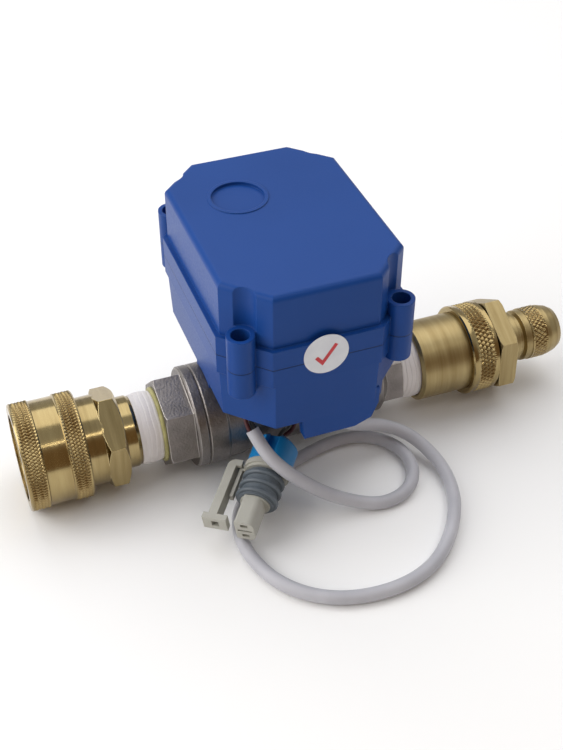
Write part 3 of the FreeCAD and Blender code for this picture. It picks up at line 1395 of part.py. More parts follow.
for side in (-1, 1):
    middle = cavity_pitch / 2 * side
    connector = connector.cut(slab(
        collar_rear - 1, nose_end + 1, -cavity_half, cavity_half, middle - cavity_rise, middle + cavity_rise,
    ))
connector = connector.cut(slab(
    nose_end - 4.0, nose_end + 1, -nose_width * 0.36, nose_width * 0.36, -0.35, 0.35,
))
node(lie("connector_shell", connector.removeSplitter()), "connector_body")

# Contacts, one in each cavity
for label, side in (("upper", 1), ("lower", -1)):
    middle = cavity_pitch / 2 * side
    contact = slab(
        collar_rear + 0.6, nose_end - 1.2, -terminal_width / 2, terminal_width / 2,
        middle - terminal_height / 2, middle + terminal_height / 2,
    )
    node(lie(f"contact_{label}", contact), f"terminal_{label}")

# Connector seal: oval band with three round-edged ribs
seal_start = core_rear + 0.1
seal_stop = core_front - 0.5
band = oval_bar(seal_start, seal_stop, core_width + 1.6, collar_ratio)
ribs = []
for step in (-1, 0, 1):
    middle = (core_rear + core_front) / 2 + rib_pitch * step
    rib = oval_bar(middle - rib_thickness / 2, middle + rib_thickness / 2, rib_width, collar_ratio)
    ribs.append(rib.makeFillet(rib_thickness.number * 0.42, [
        edge for edge in rib.Edges if abs(edge.CenterOfMass.x - middle.number) > 0.1 and edge.Length > 20
    ]))
seal_solid = band.multiFuse(ribs).cut(oval_bar(core_rear - 1, core_front + 1, core_width + 0.04, collar_ratio))
node(lie("connector_seal_band", seal_solid), "connector_seal")

# Retainer: blue cap behind the collar, slotted on top for the conductors
retainer_front = collar_rear - 0.1
retainer_rear = retainer_front - retainer_length
retainer_block = oval_bar(retainer_rear, retainer_front, retainer_width, 0.96)
rear_edges = [edge for edge in retainer_block.Edges if abs(edge.CenterOfMass.x - retainer_rear.number) < 0.01]
retainer_block = retainer_block.makeChamfer(retainer_width.number * 0.17, rear_edges)
slot_floor = retainer_width * 0.22
retainer_slot_tool = slab(
    retainer_rear - 1, retainer_front - 2.2, -retainer_slot / 2, retainer_slot / 2, slot_floor, retainer_width,
)
node(lie("retainer", retainer_block.cut(retainer_slot_tool)), "connector_retainer")

# Latch: sprung arm beside the connector, with two root lugs at the collar and a hook plate
latch_root_y = -(collar_width + 1.4) / 2 - 0.3
arm_inner = -latch_offset + latch_thickness / 2
arm_outer = -latch_offset - latch_thickness / 2
latch_rear = collar_rear - 0.2
latch_front = latch_rear + latch_length
arm = slab(latch_rear, latch_front, arm_outer, arm_inner, -latch_width / 2, latch_width / 2)
root = slab(latch_rear, latch_rear + 2.2, arm_inner - 0.2, latch_root_y, -latch_width / 2, latch_width / 2)
root_slot = slab(
    collar_rear - 1, collar_rear + 3, arm_inner, latch_root_y + 1,
    -latch_width * 0.2 - soft_gap, latch_width * 0.2 + soft_gap,
)
HOOK_OUT = 1.5
HOOK_IN = 3.2
hook = slab(
    latch_front - 0.2, latch_front + 1.7, arm_outer - HOOK_OUT, arm_inner + HOOK_IN,
    -latch_width / 2, latch_width / 2,
)
window = slab(
    latch_front - 1, latch_front + 3, arm_outer + 1.2, arm_outer + 3.4, -latch_width * 0.22, latch_width * 0.22,
)
latch = arm.multiFuse([root.cut(root_slot), hook]).removeSplitter()
outer_corner = [
    edge for edge in latch.Edges
    if abs(edge.CenterOfMass.x - latch_rear.number) < 0.01
    and abs(edge.CenterOfMass.y - arm_outer.number) < 0.01
]
latch = latch.makeFillet(latch_thickness.number * 0.9, outer_corner).cut(window)
node(lie("latch", latch), "connector_latch")


# Free cable and conductors: straight runs joined by tangent arcs
ARC_SHARE = 0.45


def cord_tube(name, route, radius):
    """Tube along a route whose corners are rounded as widely as their runs allow."""
    spots = [Vector(*spot) for spot in route]
    edges = []
    last = spots[0]
    radii = []
    for before, here, after in zip(spots, spots[1:], spots[2:]):
        into = (here - before).normalize()
        away = (after - here).normalize()
        turn = into.getAngle(away)
        trim = ARC_SHARE * min((here - before).Length, (after - here).Length)
        bend = trim / math.tan(turn / 2)
        start = here - into * trim
        stop = here + away * trim
        middle_direction = (away - into).normalize()
        middle = here + middle_direction * (bend / math.cos(turn / 2) - bend)
        edges.append(Part.LineSegment(last, start).toShape())
        edges.append(Part.Arc(start, middle, stop).toShape())
        last = stop
        radii.append(round(bend, 1))
    edges.append(Part.LineSegment(last, spots[-1]).toShape())
    path = Part.Wire(edges)
    section = Part.Wire([Part.makeCircle(radius, spots[0], spots[1] - spots[0])])
    tube = path.makePipeShell([section], True, False)
    expected = math.pi * radius ** 2 * path.Length
    print(f"{name}: length {path.Length:.1f} mm, volume ratio {tube.Volume / expected:.4f}")
    print(f"{name}: bend radii {radii} mm, smallest {min(radii)} mm")
    return tube


# Route of the cable, from the gland down to the table, twice round and up over the connector
CABLE_ROUTE = [
    (2.24, -25.5, 33.55), (2.24, -25.5, 27.5), (5.0, -23.4, 20.0), (11.4, -19.4, 14.0),
    (19.8, -17.4, 9.6), (27.6, -20.6, 6.4), (32.3, -28.4, 3.4), (33.4, -37.0, 2.2),
    (31.6, -45.8, 2.1), (28.0, -53.4, 2.1), (22.6, -60.9, 2.1), (15.6, -67.4, 2.1),
    (7.6, -71.2, 2.1), (-1.0, -72.6, 2.1), (-10.2, -71.9, 2.1), (-18.4, -69.2, 2.1),
    (-25.2, -64.4, 2.1), (-30.2, -58.0, 2.1), (-33.0, -50.8, 2.1), (-34.2, -43.6, 2.1),
    (-33.6, -36.4, 2.1), (-30.8, -29.4, 2.1), (-25.6, -23.6, 2.1), (-18.4, -19.6, 2.1),
    (-9.8, -16.6, 2.1), (-1.0, -13.6, 2.1), (7.6, -11.8, 2.1), (15.7, -12.9, 2.1),
    (21.8, -17.3, 2.1), (25.2, -24.0, 2.1), (25.0, -31.3, 2.1), (21.7, -37.4, 2.1),
    (16.0, -41.2, 2.1), (8.7, -41.9, 2.2), (0.4, -39.3, 4.2), (-7.9, -37.7, 9.3),
    (-15.4, -35.9, 16.1), (-20.2, -33.7, 20.9), (-23.5, -30.2, 25.3), (-25.1, -26.0, 29.6),
]
cable = cord_tube("cable", CABLE_ROUTE, cable_radius.number)
feature = doc.addObject("Part::Feature", "cable_tube")
feature.Shape = cable
node(feature, "cable")

# Conductors: out of the stripped end, over in a loop and down into the back of the retainer
cable_end = Vector(*CABLE_ROUTE[-1])
cable_heading = (cable_end - Vector(*CABLE_ROUTE[-2])).normalize()
cable_side = cable_heading.cross(Vector(0, 0, 1)).normalize()
CONDUCTORS = {
    "red": (-1, [
        (-25.4, -21.8, 34.5), (-21.0, -19.9, 35.6), (-15.5, -19.3, 33.6), (-10.8, -18.6, 29.2),
        (-8.2, -17.5, 23.5), (-8.0, -16.0, 18.0), (-9.2, -15.3, 14.3),
    ]),
    "black": (1, [
        (-23.6, -22.0, 32.7), (-20.3, -20.1, 33.2), (-15.8, -19.3, 31.6), (-12.3, -18.7, 28.0),
        (-10.1, -17.5, 23.4), (-9.8, -16.0, 18.8), (-10.3, -15.5, 16.6),
    ]),
}
ENTRY_RUN = 3.0
for colour, (side, middle) in CONDUCTORS.items():
    start = cable_end + cable_side * side * 0.85
    end = CONNECTOR_SPOT + CONNECTOR_TURN.multVec(Vector(retainer_rear.number, 0, side * 0.9))
    route = [start, start + cable_heading * ENTRY_RUN, *middle, end - ahead * ENTRY_RUN, end]
    feature = doc.addObject("Part::Feature", f"wire_{colour}")
    feature.Shape = cord_tube(f"conductor_{colour}", [tuple(spot) for spot in route], wire_radius.number)
    node(feature, f"conductor_{colour}")

# Build everything, check it and write one file for each sub-part
doc.recompute()
for item in doc.Objects:
    if "Invalid" in item.State or "Error" in item.State:
        raise RuntimeError(f"{item.Name} ({item.Label}) is in state {item.State}")
for item in nodes:
    if item.Shape.isNull() or not item.Shape.isValid():
        raise RuntimeError(f"{item.Label} has no valid shape")
    item.Shape.exportStep(f"parts/{item.Label}.step")
    box = item.Shape.BoundBox
    print(f"{item.Label}: {len(item.Shape.Solids)} solid, {item.Shape.Volume:.0f} mm3, "
          f"x {box.XMin:.1f}..{box.XMax:.1f}, y {box.YMin:.1f}..{box.YMax:.1f}, z {box.ZMin:.1f}..{box.ZMax:.1f}")
print(f"{len(nodes)} sub-parts")
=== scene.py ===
"""Motorized fill valve: finish of the valve, its geared actuator, its brass fittings and its lead."""
import math

import bpy
import numpy as np
from mathutils import Euler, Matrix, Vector


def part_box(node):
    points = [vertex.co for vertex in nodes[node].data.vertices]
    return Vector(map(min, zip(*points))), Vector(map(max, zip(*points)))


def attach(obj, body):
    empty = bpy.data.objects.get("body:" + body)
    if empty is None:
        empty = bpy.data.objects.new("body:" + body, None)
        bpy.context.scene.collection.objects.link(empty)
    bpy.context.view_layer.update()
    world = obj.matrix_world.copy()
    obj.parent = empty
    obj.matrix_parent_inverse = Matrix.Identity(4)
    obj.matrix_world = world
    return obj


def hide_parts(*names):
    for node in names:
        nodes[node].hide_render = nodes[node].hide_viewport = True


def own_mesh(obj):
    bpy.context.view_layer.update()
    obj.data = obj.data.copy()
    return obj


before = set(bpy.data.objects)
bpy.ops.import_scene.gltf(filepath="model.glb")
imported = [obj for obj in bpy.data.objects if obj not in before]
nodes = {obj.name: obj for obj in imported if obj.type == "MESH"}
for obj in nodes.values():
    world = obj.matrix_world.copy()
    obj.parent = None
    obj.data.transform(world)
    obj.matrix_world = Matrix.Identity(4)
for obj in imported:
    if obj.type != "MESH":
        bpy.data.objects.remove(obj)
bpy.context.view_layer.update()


# Studio: a pale floor, large soft lamps on the left and above, a narrow one over the front, and air
# that is darker in front, so that turned brass gets its brown bands. The camera stands where the
# photograph was taken from, a little left of the front and above.
def add_object(name, data):
    """Object at the origin with the given mesh, curve, lamp or camera."""
    new_object = bpy.data.objects.new(name, data)
    bpy.context.scene.collection.objects.link(new_object)
    return new_object


floor_reach = 3.0
floor_height = -0.0002
floor_corners = ((-1, -1), (1, -1), (1, 1), (-1, 1))
floor_mesh = bpy.data.meshes.new("studio_floor")
floor_mesh.from_pydata(
    [(x * floor_reach, y * floor_reach, floor_height) for x, y in floor_corners], [], [(0, 1, 2, 3)],
)
studio_floor = add_object("studio_floor", floor_mesh)
floor_paper = bpy.data.materials.new("floor_paper")
floor_paper.use_nodes = True
floor_shader = floor_paper.node_tree.nodes["Principled BSDF"]
floor_shader.inputs["Base Color"].default_value = (0.93, 0.93, 0.93, 1)
floor_shader.inputs["Roughness"].default_value = 0.9
floor_mesh.materials.append(floor_paper)

world = bpy.data.worlds.new("studio_air")
bpy.context.scene.world = world
world.use_nodes = True
air = world.node_tree
background = air.nodes["Background"]
background.inputs["Strength"].default_value = 1.0
direction = air.nodes.new("ShaderNodeTexCoord")
direction_parts = air.nodes.new("ShaderNodeSeparateXYZ")
towards_back = air.nodes.new("ShaderNodeMapRange")
towards_back.interpolation_type = "SMOOTHSTEP"
towards_back.inputs["From Min"].default_value = -0.80
towards_back.inputs["From Max"].default_value = -0.40
air_tone = air.nodes.new("ShaderNodeMix")
air_tone.data_type = "RGBA"
air_tone.inputs["A"].default_value = (0.24, 0.165, 0.10, 1)
air_tone.inputs["B"].default_value = (0.485, 0.4875, 0.50, 1)
air.links.new(direction.outputs["Generated"], direction_parts.inputs["Vector"])
air.links.new(direction_parts.outputs["Y"], towards_back.inputs["Value"])
air.links.new(towards_back.outputs["Result"], air_tone.inputs["Factor"])
air.links.new(air_tone.outputs["Result"], background.inputs["Color"])

lamp_aim = Vector((0, 0, 0.03))


def soft_lamp(name, place, size, power, colour):
    """Rectangular area lamp, in metres and watts, that faces the middle of the valve."""
    lamp = bpy.data.lights.new(name, "AREA")
    lamp.shape = "RECTANGLE"
    lamp.size, lamp.size_y = size
    lamp.energy = power
    lamp.color = colour
    lamp_object = add_object(name, lamp)
    lamp_object.location = place
    lamp_object.rotation_euler = (lamp_aim - Vector(place)).to_track_quat("-Z", "Y").to_euler()


soft_lamp("left_window", (-0.75, 0.10, 0.50), (0.9, 0.8), 6.4, (1.0, 0.98, 0.95))
soft_lamp("top_softbox", (0.25, 0.40, 0.90), (1.5, 0.85), 5.6, (1.0, 1.0, 1.0))
soft_lamp("front_strip", (0.20, -0.50, 0.85), (0.5, 0.04), 0.5, (1.0, 0.95, 0.85))

degrees_below_level = 40.74
degrees_to_the_right = 20.47
camera = bpy.data.cameras.new("camera")
camera.lens = 57.44
camera.sensor_width = 36
camera.clip_start = 0.01
camera_object = add_object("camera", camera)
camera_object.location = (-0.103815, -0.26061, 0.26320)
camera_object.rotation_euler = Euler(
    (math.radians(90 - degrees_below_level), 0, math.radians(-degrees_to_the_right)), "XYZ",
)
bpy.context.scene.camera = camera_object
bpy.context.scene.view_settings.view_transform = "Standard"


# Lead cable: round soft jacket, pale grey with a lavender cast, 4 mm thick. It leaves the gland
# under the actuator, runs once round on the table, back under the connector and up over it.
def shader_group(name, inputs, outputs):
    """Node group with named inputs and outputs, and its two end nodes."""
    group = bpy.data.node_groups.new(name, "ShaderNodeTree")
    for label, kind, value in inputs:
        socket = group.interface.new_socket(label, in_out="INPUT", socket_type="NodeSocket" + kind)
        socket.default_value = value
    for label, kind in outputs:
        group.interface.new_socket(label, in_out="OUTPUT", socket_type="NodeSocket" + kind)
    return group, group.nodes.new("NodeGroupInput"), group.nodes.new("NodeGroupOutput")


def remapped(tree, value, source, target=(0.0, 1.0)):
    """Value socket carried evenly from the source range to the target range, and held at its ends."""
    remap = tree.nodes.new("ShaderNodeMapRange")
    for label, limit in zip(("From Min", "From Max", "To Min", "To Max"), (*source, *target)):
        remap.inputs[label].default_value = limit
    tree.links.new(value, remap.inputs["Value"])
    return remap.outputs["Result"]


def tinted(tree, colour, mask, tone):
    """Colour socket that goes from the given colour to a tone as the mask goes from 0 to 1."""
    mix = tree.nodes.new("ShaderNodeMix")
    mix.data_type = "RGBA"
    mix.inputs["B"].default_value = (*tone, 1)
    tree.links.new(colour, mix.inputs["A"])
    tree.links.new(mask, mix.inputs["Factor"])
    return mix.outputs["Result"]


# Mottle: two sizes of noise on the piece's own coordinates, stretched where a lathe or a mould did it.
mottle, mottle_in, mottle_out = shader_group(
    "mottle",
    [("Stretch", "Vector", (1, 1, 1)), ("Patch", "Float", 60.0), ("Grain", "Float", 2500.0)],
    [("Patch", "Float"), ("Grain", "Float")],
)
place = mottle.nodes.new("ShaderNodeTexCoord")
stretch = mottle.nodes.new("ShaderNodeMapping")
mottle.links.new(place.outputs["Object"], stretch.inputs["Vector"])
mottle.links.new(mottle_in.outputs["Stretch"], stretch.inputs["Scale"])
for label, detail in (("Patch", 3.0), ("Grain", 2.0)):
    noise = mottle.nodes.new("ShaderNodeTexNoise")
    noise.inputs["Detail"].default_value = detail
    mottle.links.new(stretch.outputs["Vector"], noise.inputs["Vector"])
    mottle.links.new(mottle_in.outputs[label], noise.inputs["Scale"])
    mottle.links.new(noise.outputs["Fac"], mottle_out.inputs[label])

# Softened edges: the normal of a small rounding, with a fine relief on it, and where the edges are,
# which is where that normal leaves the surface's own.
edges, edges_in, edges_out = shader_group(
    "softened_edges",
    [("Radius", "Float", 0.0003), ("Relief", "Float", 0.5), ("Depth", "Float", 0.00002)],
    [("Edge", "Float"), ("Normal", "Vector")],
)
rounding = edges.nodes.new("ShaderNodeBevel")
rounding.samples = 6
facing = edges.nodes.new("ShaderNodeNewGeometry")
agreement = edges.nodes.new("ShaderNodeVectorMath")
agreement.operation = "DOT_PRODUCT"
relief = edges.nodes.new("ShaderNodeBump")
edges.links.new(edges_in.outputs["Radius"], rounding.inputs["Radius"])
edges.links.new(rounding.outputs["Normal"], agreement.inputs[0])
edges.links.new(facing.outputs["Normal"], agreement.inputs[1])
edges.links.new(remapped(edges, agreement.outputs["Value"], (0.995, 0.85)), edges_out.inputs["Edge"])
edges.links.new(rounding.outputs["Normal"], relief.inputs["Normal"])
edges.links.new(edges_in.outputs["Relief"], relief.inputs["Height"])
edges.links.new(edges_in.outputs["Depth"], relief.inputs["Distance"])
edges.links.new(relief.outputs["Normal"], edges_out.inputs["Normal"])


def finish(name, low, high, rough, metal=0.0, shine=0.5, soft=0.0,
           stretch=(1, 1, 1), patch=60.0, grain=2500.0, depth=0.00001,
           edge_radius=0.00025, edge_colour=None, edge_share=0.0, hollow_colour=None):
    """Material: the colour wanders from low to high in patches and turns towards edge_colour on the
    edges, a painted highlight along with wear, and towards hollow_colour where the piece's rise is
    low, dirt and painted shade. Roughness goes from rough[0] to rough[1] with the grain, which also
    lifts a relief of the given depth in metres."""
    material = bpy.data.materials.new(name)
    material.use_nodes = True
    tree = material.node_tree
    shader = tree.nodes["Principled BSDF"]
    shader.inputs["Metallic"].default_value = metal
    shader.inputs["Specular IOR Level"].default_value = shine
    shader.inputs["Subsurface Weight"].default_value = soft
    shader.inputs["Subsurface Radius"].default_value = (0.001, 0.001, 0.001)
    pattern = tree.nodes.new("ShaderNodeGroup")
    pattern.node_tree = mottle
    for label, value in (("Stretch", stretch), ("Patch", patch), ("Grain", grain)):
        pattern.inputs[label].default_value = value
    rim = tree.nodes.new("ShaderNodeGroup")
    rim.node_tree = edges
    rim.inputs["Radius"].default_value = edge_radius
    rim.inputs["Depth"].default_value = depth
    tree.links.new(pattern.outputs["Grain"], rim.inputs["Relief"])
    tree.links.new(rim.outputs["Normal"], shader.inputs["Normal"])
    blend = tree.nodes.new("ShaderNodeMix")
    blend.data_type = "RGBA"
    blend.inputs["A"].default_value = (*low, 1)
    blend.inputs["B"].default_value = (*high, 1)
    tree.links.new(remapped(tree, pattern.outputs["Patch"], (0.3, 0.7)), blend.inputs["Factor"])
    colour = blend.outputs["Result"]
    # Edges: a painted highlight along the rounded edges, together with wear, lightens the colour
    # towards edge_colour.
    if edge_share:
        edge_wear_and_highlight = remapped(tree, rim.outputs["Edge"], (0.0, 1.0), (0.0, edge_share))
        colour = tinted(tree, colour, edge_wear_and_highlight, edge_colour)
    # Hollows: dirt and painted shade darken the knurl's grooves, where the rise attribute is low.
    if hollow_colour:
        rise = tree.nodes.new("ShaderNodeAttribute")
        rise.attribute_name = "rise"
        hollow = remapped(tree, rise.outputs["Fac"], (0.0, 0.7), (1.0, 0.0))
        colour = tinted(tree, colour, hollow, hollow_colour)
    tree.links.new(colour, shader.inputs["Base Color"])
    roughness = remapped(tree, pattern.outputs["Grain"], (0.25, 0.75), rough)
    tree.links.new(roughness, shader.inputs["Roughness"])
    return material


def dress(material, *names):
    """Give CAD nodes a material."""
    for name in names:
        mesh = nodes[name].data
        mesh.materials.clear()
        mesh.materials.append(material)


def cord_line(name, route, radius, material):
    """Round cord of a radius in metres, along a smooth line by its route in millimetres. It rides
    the housing."""
    curve = bpy.data.curves.new(name, "CURVE")
    curve.dimensions = "3D"
    spline = curve.splines.new("NURBS")
    spline.points.add(len(route) - 1)
    for point, (x, y, z) in zip(spline.points, route):
        point.co = (x / 1000, y / 1000, z / 1000, 1)
    spline.order_u = 3
    spline.use_endpoint_u = True
    spline.resolution_u = 12
    curve.bevel_depth = radius
    curve.bevel_resolution = 6
    curve.use_fill_caps = True
    curve.materials.append(material)
    cord = add_object(name, curve)
    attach(cord, "housing")
    return cord


cable_jacket = finish("cable_jacket", (0.42, 0.42, 0.46), (0.50, 0.50, 0.54), (0.42, 0.55),
                      patch=90.0, grain=3000.0, depth=0.000004, edge_radius=0.0001)
cable_radius = 0.002
cable_route = [
    (2.24, -25.5, 33.55), (2.24, -25.5, 27.5), (5.0, -23.4, 20.0), (11.4, -19.4, 14.0),
    (19.8, -17.4, 9.6), (27.6, -20.6, 6.4), (32.3, -28.4, 3.4), (33.4, -37.0, 2.2),
    (31.6, -45.8, 2.1), (28.0, -53.4, 2.1), (22.6, -60.9, 2.1), (15.6, -67.4, 2.1),
    (7.6, -71.2, 2.1), (-1.0, -72.6, 2.1), (-10.2, -71.9, 2.1), (-18.4, -69.2, 2.1),
    (-25.2, -64.4, 2.1), (-30.2, -58.0, 2.1), (-33.0, -50.8, 2.1), (-34.2, -43.6, 2.1),
    (-33.6, -36.4, 2.1), (-30.8, -29.4, 2.1), (-25.6, -23.6, 2.1), (-18.4, -19.6, 2.1),
    (-9.8, -16.6, 2.1), (-1.0, -13.6, 2.1), (7.6, -11.8, 2.1), (15.7, -12.9, 2.1),
    (21.8, -17.3, 2.1), (25.2, -24.0, 2.1), (25.0, -31.3, 2.1), (21.7, -37.4, 2.1),
    (16.0, -41.2, 2.1), (8.7, -41.9, 2.2), (0.4, -39.3, 4.2), (-7.9, -37.7, 9.3),
    (-15.4, -35.9, 16.1), (-20.2, -33.7, 20.9), (-23.5, -30.2, 25.3), (-25.1, -26.0, 29.6),
]
lead_cable = cord_line("lead_cable", cable_route, cable_radius, cable_jacket)
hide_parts("cable")

# Conductors: two insulated wires, dark red and black, 1.3 mm thick, that loop out of the stripped
# end of the cable and down into the back of the connector.
conductor_radius = 0.00065
conductor_routes = {
    "red": [
        (-25.89, -26.30, 29.60), (-26.67, -24.28, 31.67), (-25.4, -21.8, 34.5), (-21.0, -19.9, 35.6),
        (-15.5, -19.3, 33.6), (-10.8, -18.6, 29.2), (-8.2, -17.5, 23.5), (-8.0, -16.0, 18.0),
        (-9.2, -15.3, 14.3), (-12.49, -16.08, 13.83), (-14.29, -18.44, 13.39),
    ],
    "black": [
        (-24.31, -25.70, 29.60), (-25.08, -23.67, 31.67), (-23.6, -22.0, 32.7), (-20.3, -20.1, 33.2),
        (-15.8, -19.3, 31.6), (-12.3, -18.7, 28.0), (-10.1, -17.5, 23.4), (-9.8, -16.0, 18.8),
        (-10.3, -15.5, 16.6), (-12.78, -16.19, 15.61), (-14.57, -18.55, 15.16),
    ],
}
conductor_tones = {
    "red": ((0.045, 0.006, 0.009), (0.07, 0.010, 0.012)),
    "black": ((0.012, 0.012, 0.012), (0.03, 0.03, 0.03)),
}
for colour, route in conductor_routes.items():
    jacket = finish(f"conductor_{colour}_jacket", *conductor_tones[colour], (0.35, 0.5),
                    depth=0.000003, edge_radius=0.00005)
    cord_line(f"lead_conductor_{colour}", route, conductor_radius, jacket)
    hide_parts(f"conductor_{colour}")

# Connector: grey-beige moulded shell and latch, slate silicone seal, bright blue retainer cap and
# two tinned contacts. It lies on the outer strand of the cable.
connector_shell = finish("connector_shell", (0.38, 0.375, 0.33), (0.44, 0.435, 0.39), (0.42, 0.6),
                         patch=120.0, depth=0.000008, edge_colour=(0.50, 0.50, 0.43), edge_share=0.5)
dress(connector_shell, "connector_body", "connector_latch")
seal_silicone = finish("seal_silicone", (0.085, 0.105, 0.125), (0.12, 0.145, 0.17), (0.38, 0.55),
                       patch=150.0, depth=0.000006, edge_colour=(0.25, 0.28, 0.31), edge_share=0.35)
dress(seal_silicone, "connector_seal")
retainer_plastic = finish("retainer_plastic", (0.006, 0.19, 0.48), (0.01, 0.24, 0.56), (0.3, 0.45),
                          patch=120.0, depth=0.000006, edge_colour=(0.06, 0.34, 0.70), edge_share=0.4)
dress(retainer_plastic, "connector_retainer")
contact_tin = finish("contact_tin", (0.62, 0.60, 0.55), (0.75, 0.73, 0.68), (0.25, 0.4), metal=1.0)
dress(contact_tin, "terminal_upper", "terminal_lower")

# Cable gland: black rubber grommet, pressed into the floor of the actuator base where the lead
# comes out.
gland_rubber = finish("gland_rubber", (0.015, 0.015, 0.016), (0.035, 0.035, 0.036), (0.55, 0.75))
dress(gland_rubber, "cable_gland")

# Actuator housing: moulded blue plastic with a fine satin texture, a cover and a tub that meet at
# the seam. Zinc plated screws hold the cover in the corner bosses and the tub on the valve.
housing_blue = finish("housing_blue", (0.007, 0.050, 0.232), (0.009, 0.057, 0.260), (0.32, 0.42),
                      shine=0.17, patch=25.0, grain=1800.0, depth=0.000012, edge_radius=0.0004,
                      edge_colour=(0.04, 0.12, 0.40), edge_share=0.22)
dress(housing_blue, "actuator_base", "actuator_cover")
screw_zinc = finish("screw_zinc", (0.40, 0.40, 0.39), (0.60, 0.59, 0.57), (0.3, 0.5), metal=1.0)
dress(screw_zinc, *[name for name in nodes if "screw" in name])

# Seam: dust and shade darken both halves where the cover's skirt meets the tub, fully up to
# 0.08 mm from the seam and not at all past 0.26 mm.
seam_height = 0.05912
paint = housing_blue.node_tree
seam_place = paint.nodes.new("ShaderNodeTexCoord")
seam_parts = paint.nodes.new("ShaderNodeSeparateXYZ")
seam_side = paint.nodes.new("ShaderNodeMath")
seam_side.operation = "SUBTRACT"
seam_side.inputs[1].default_value = seam_height
seam_distance = paint.nodes.new("ShaderNodeMath")
seam_distance.operation = "ABSOLUTE"
paint.links.new(seam_place.outputs["Object"], seam_parts.inputs["Vector"])
paint.links.new(seam_parts.outputs["Z"], seam_side.inputs[0])
paint.links.new(seam_side.outputs["Value"], seam_distance.inputs[0])
seam_mask = remapped(paint, seam_distance.outputs["Value"], (0.00008, 0.00026), (0.75, 0.0))
housing_colour = paint.nodes["Principled BSDF"].inputs["Base Color"]
clean_colour = housing_colour.links[0].from_socket
paint.links.new(tinted(paint, clean_colour, seam_mask, (0.002, 0.010, 0.045)), housing_colour)

# Inspection mark: round paper label stuck over the seam on the front of the housing, with a plain
# tick printed in red.
label_paper = finish("label_paper", (0.66, 0.68, 0.73), (0.74, 0.76, 0.80), (0.4, 0.55), patch=200.0,
                     depth=0.000004, edge_radius=0.00005)
dress(label_paper, "inspection_mark")
tick_ink = finish("tick_ink", (0.50, 0.02, 0.03), (0.62, 0.04, 0.05), (0.4, 0.6), patch=400.0,
                  depth=0.000002, edge_radius=0.00003)


def stroke_sides(points, width):
    """Both sides of a bent stroke: each point moved half a width to left and right, at a bend along
    the bisector and further by one over the cosine of half the turn."""
    points = np.array(points, float)
    heading = np.diff(points, axis=0)
    heading /= np.linalg.norm(heading, axis=1)[:, None]
    side = np.stack([-heading[:, 1], heading[:, 0]], 1)
    normals = np.vstack([side[:1], side[:-1] + side[1:], side[-1:]])
    normals /= np.linalg.norm(normals, axis=1)[:, None]
    reach = np.full(len(points), width / 2)
    reach[1:-1] /= (normals[1:-1] * side[:-1]).sum(1)
    return points + normals * reach[:, None], points - normals * reach[:, None]


tick_bend = [(-10.4, 60.3), (-8.6, 58.1), (-4.7, 63.7)]
tick_width = 1.1
ink_thickness = 0.00003
mark_low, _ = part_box("inspection_mark")
ink_face = mark_low.y - ink_thickness
tick_corners = np.vstack(stroke_sides(tick_bend, tick_width)) / 1000
across = len(tick_bend)
tick_mesh = bpy.data.meshes.new("inspection_tick")
tick_mesh.from_pydata(
    [(x, ink_face, z) for x, z in tick_corners], [],
    [(i, i + 1, across + i + 1, across + i) for i in range(across - 1)],
)
tick_mesh.update()
if sum(polygon.normal.y for polygon in tick_mesh.polygons) > 0:
    tick_mesh.flip_normals()
tick_mesh.materials.append(tick_ink)
inspection_tick = add_object("inspection_tick", tick_mesh)
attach(inspection_tick, "housing")

# Valve: cast and machined stainless body and end cap, bead blasted dark; polished ball and stem
# in white seats, with black seal rings. The idler's axle, the sleeve's stop ring and spring and the
# locking balls have the same polish.
stainless = finish("stainless", (0.192, 0.175, 0.168), (0.285, 0.262, 0.25), (0.36, 0.50), metal=1.0,
                   patch=160.0, grain=1500.0, depth=0.00013, edge_radius=0.0004,
                   edge_colour=(0.72, 0.68, 0.64), edge_share=0.85)
dress(stainless, "valve_body", "valve_end_cap")
polished = finish("polished", (0.55, 0.55, 0.55), (0.66, 0.66, 0.66), (0.12, 0.22), metal=1.0,
                  stretch=(20, 1, 1), patch=40.0, depth=0.000003)
dress(polished, "valve_ball", "valve_stem", "idler_axle", "sleeve_stop_ring",
      *[name for name in nodes if name.startswith("locking_ball")])
seat_plastic = finish("seat_plastic", (0.80, 0.80, 0.77), (0.86, 0.86, 0.84), (0.3, 0.45))
dress(seat_plastic, "seat_inlet", "seat_outlet")
ring_rubber = finish("ring_rubber", (0.012, 0.012, 0.012), (0.03, 0.03, 0.03), (0.4, 0.6))
dress(ring_rubber, "stem_seal_1", "stem_seal_2", "coupler_seal", "union_gasket")

# Thread joints: white sealing tape wound over the male threads at both ends of the valve, and an
# olive bead of sealant squeezed out beside the inlet's tape.
tape_film = finish("tape_film", (0.72, 0.685, 0.68), (0.82, 0.79, 0.785), (0.38, 0.55), soft=0.15,
                   stretch=(14, 1, 1), patch=35.0, grain=900.0, depth=0.00003, edge_radius=0.0002)
sealant = finish("sealant", (0.27, 0.245, 0.08), (0.42, 0.39, 0.17), (0.35, 0.55), patch=260.0,
                 grain=900.0, depth=0.0002)
dress(sealant, "sealant_bead")
# The pipe axis runs along x at this height, in millimetres.
axis_height = 16.15
tape_edge_radius = 10.45
tape_inner_radius = 10.37
tape_swell = 0.50
tape_pitch = 1.5
tape_step = 0.11


def about_pipe(x, radius, turn):
    """Points in millimetres at a radius and a turn about the pipe axis, with turn 0 straight up."""
    x, radius, turn = np.broadcast_arrays(x, radius, turn)
    return np.stack([x, -radius * np.sin(turn), radius * np.cos(turn) + axis_height], -1)


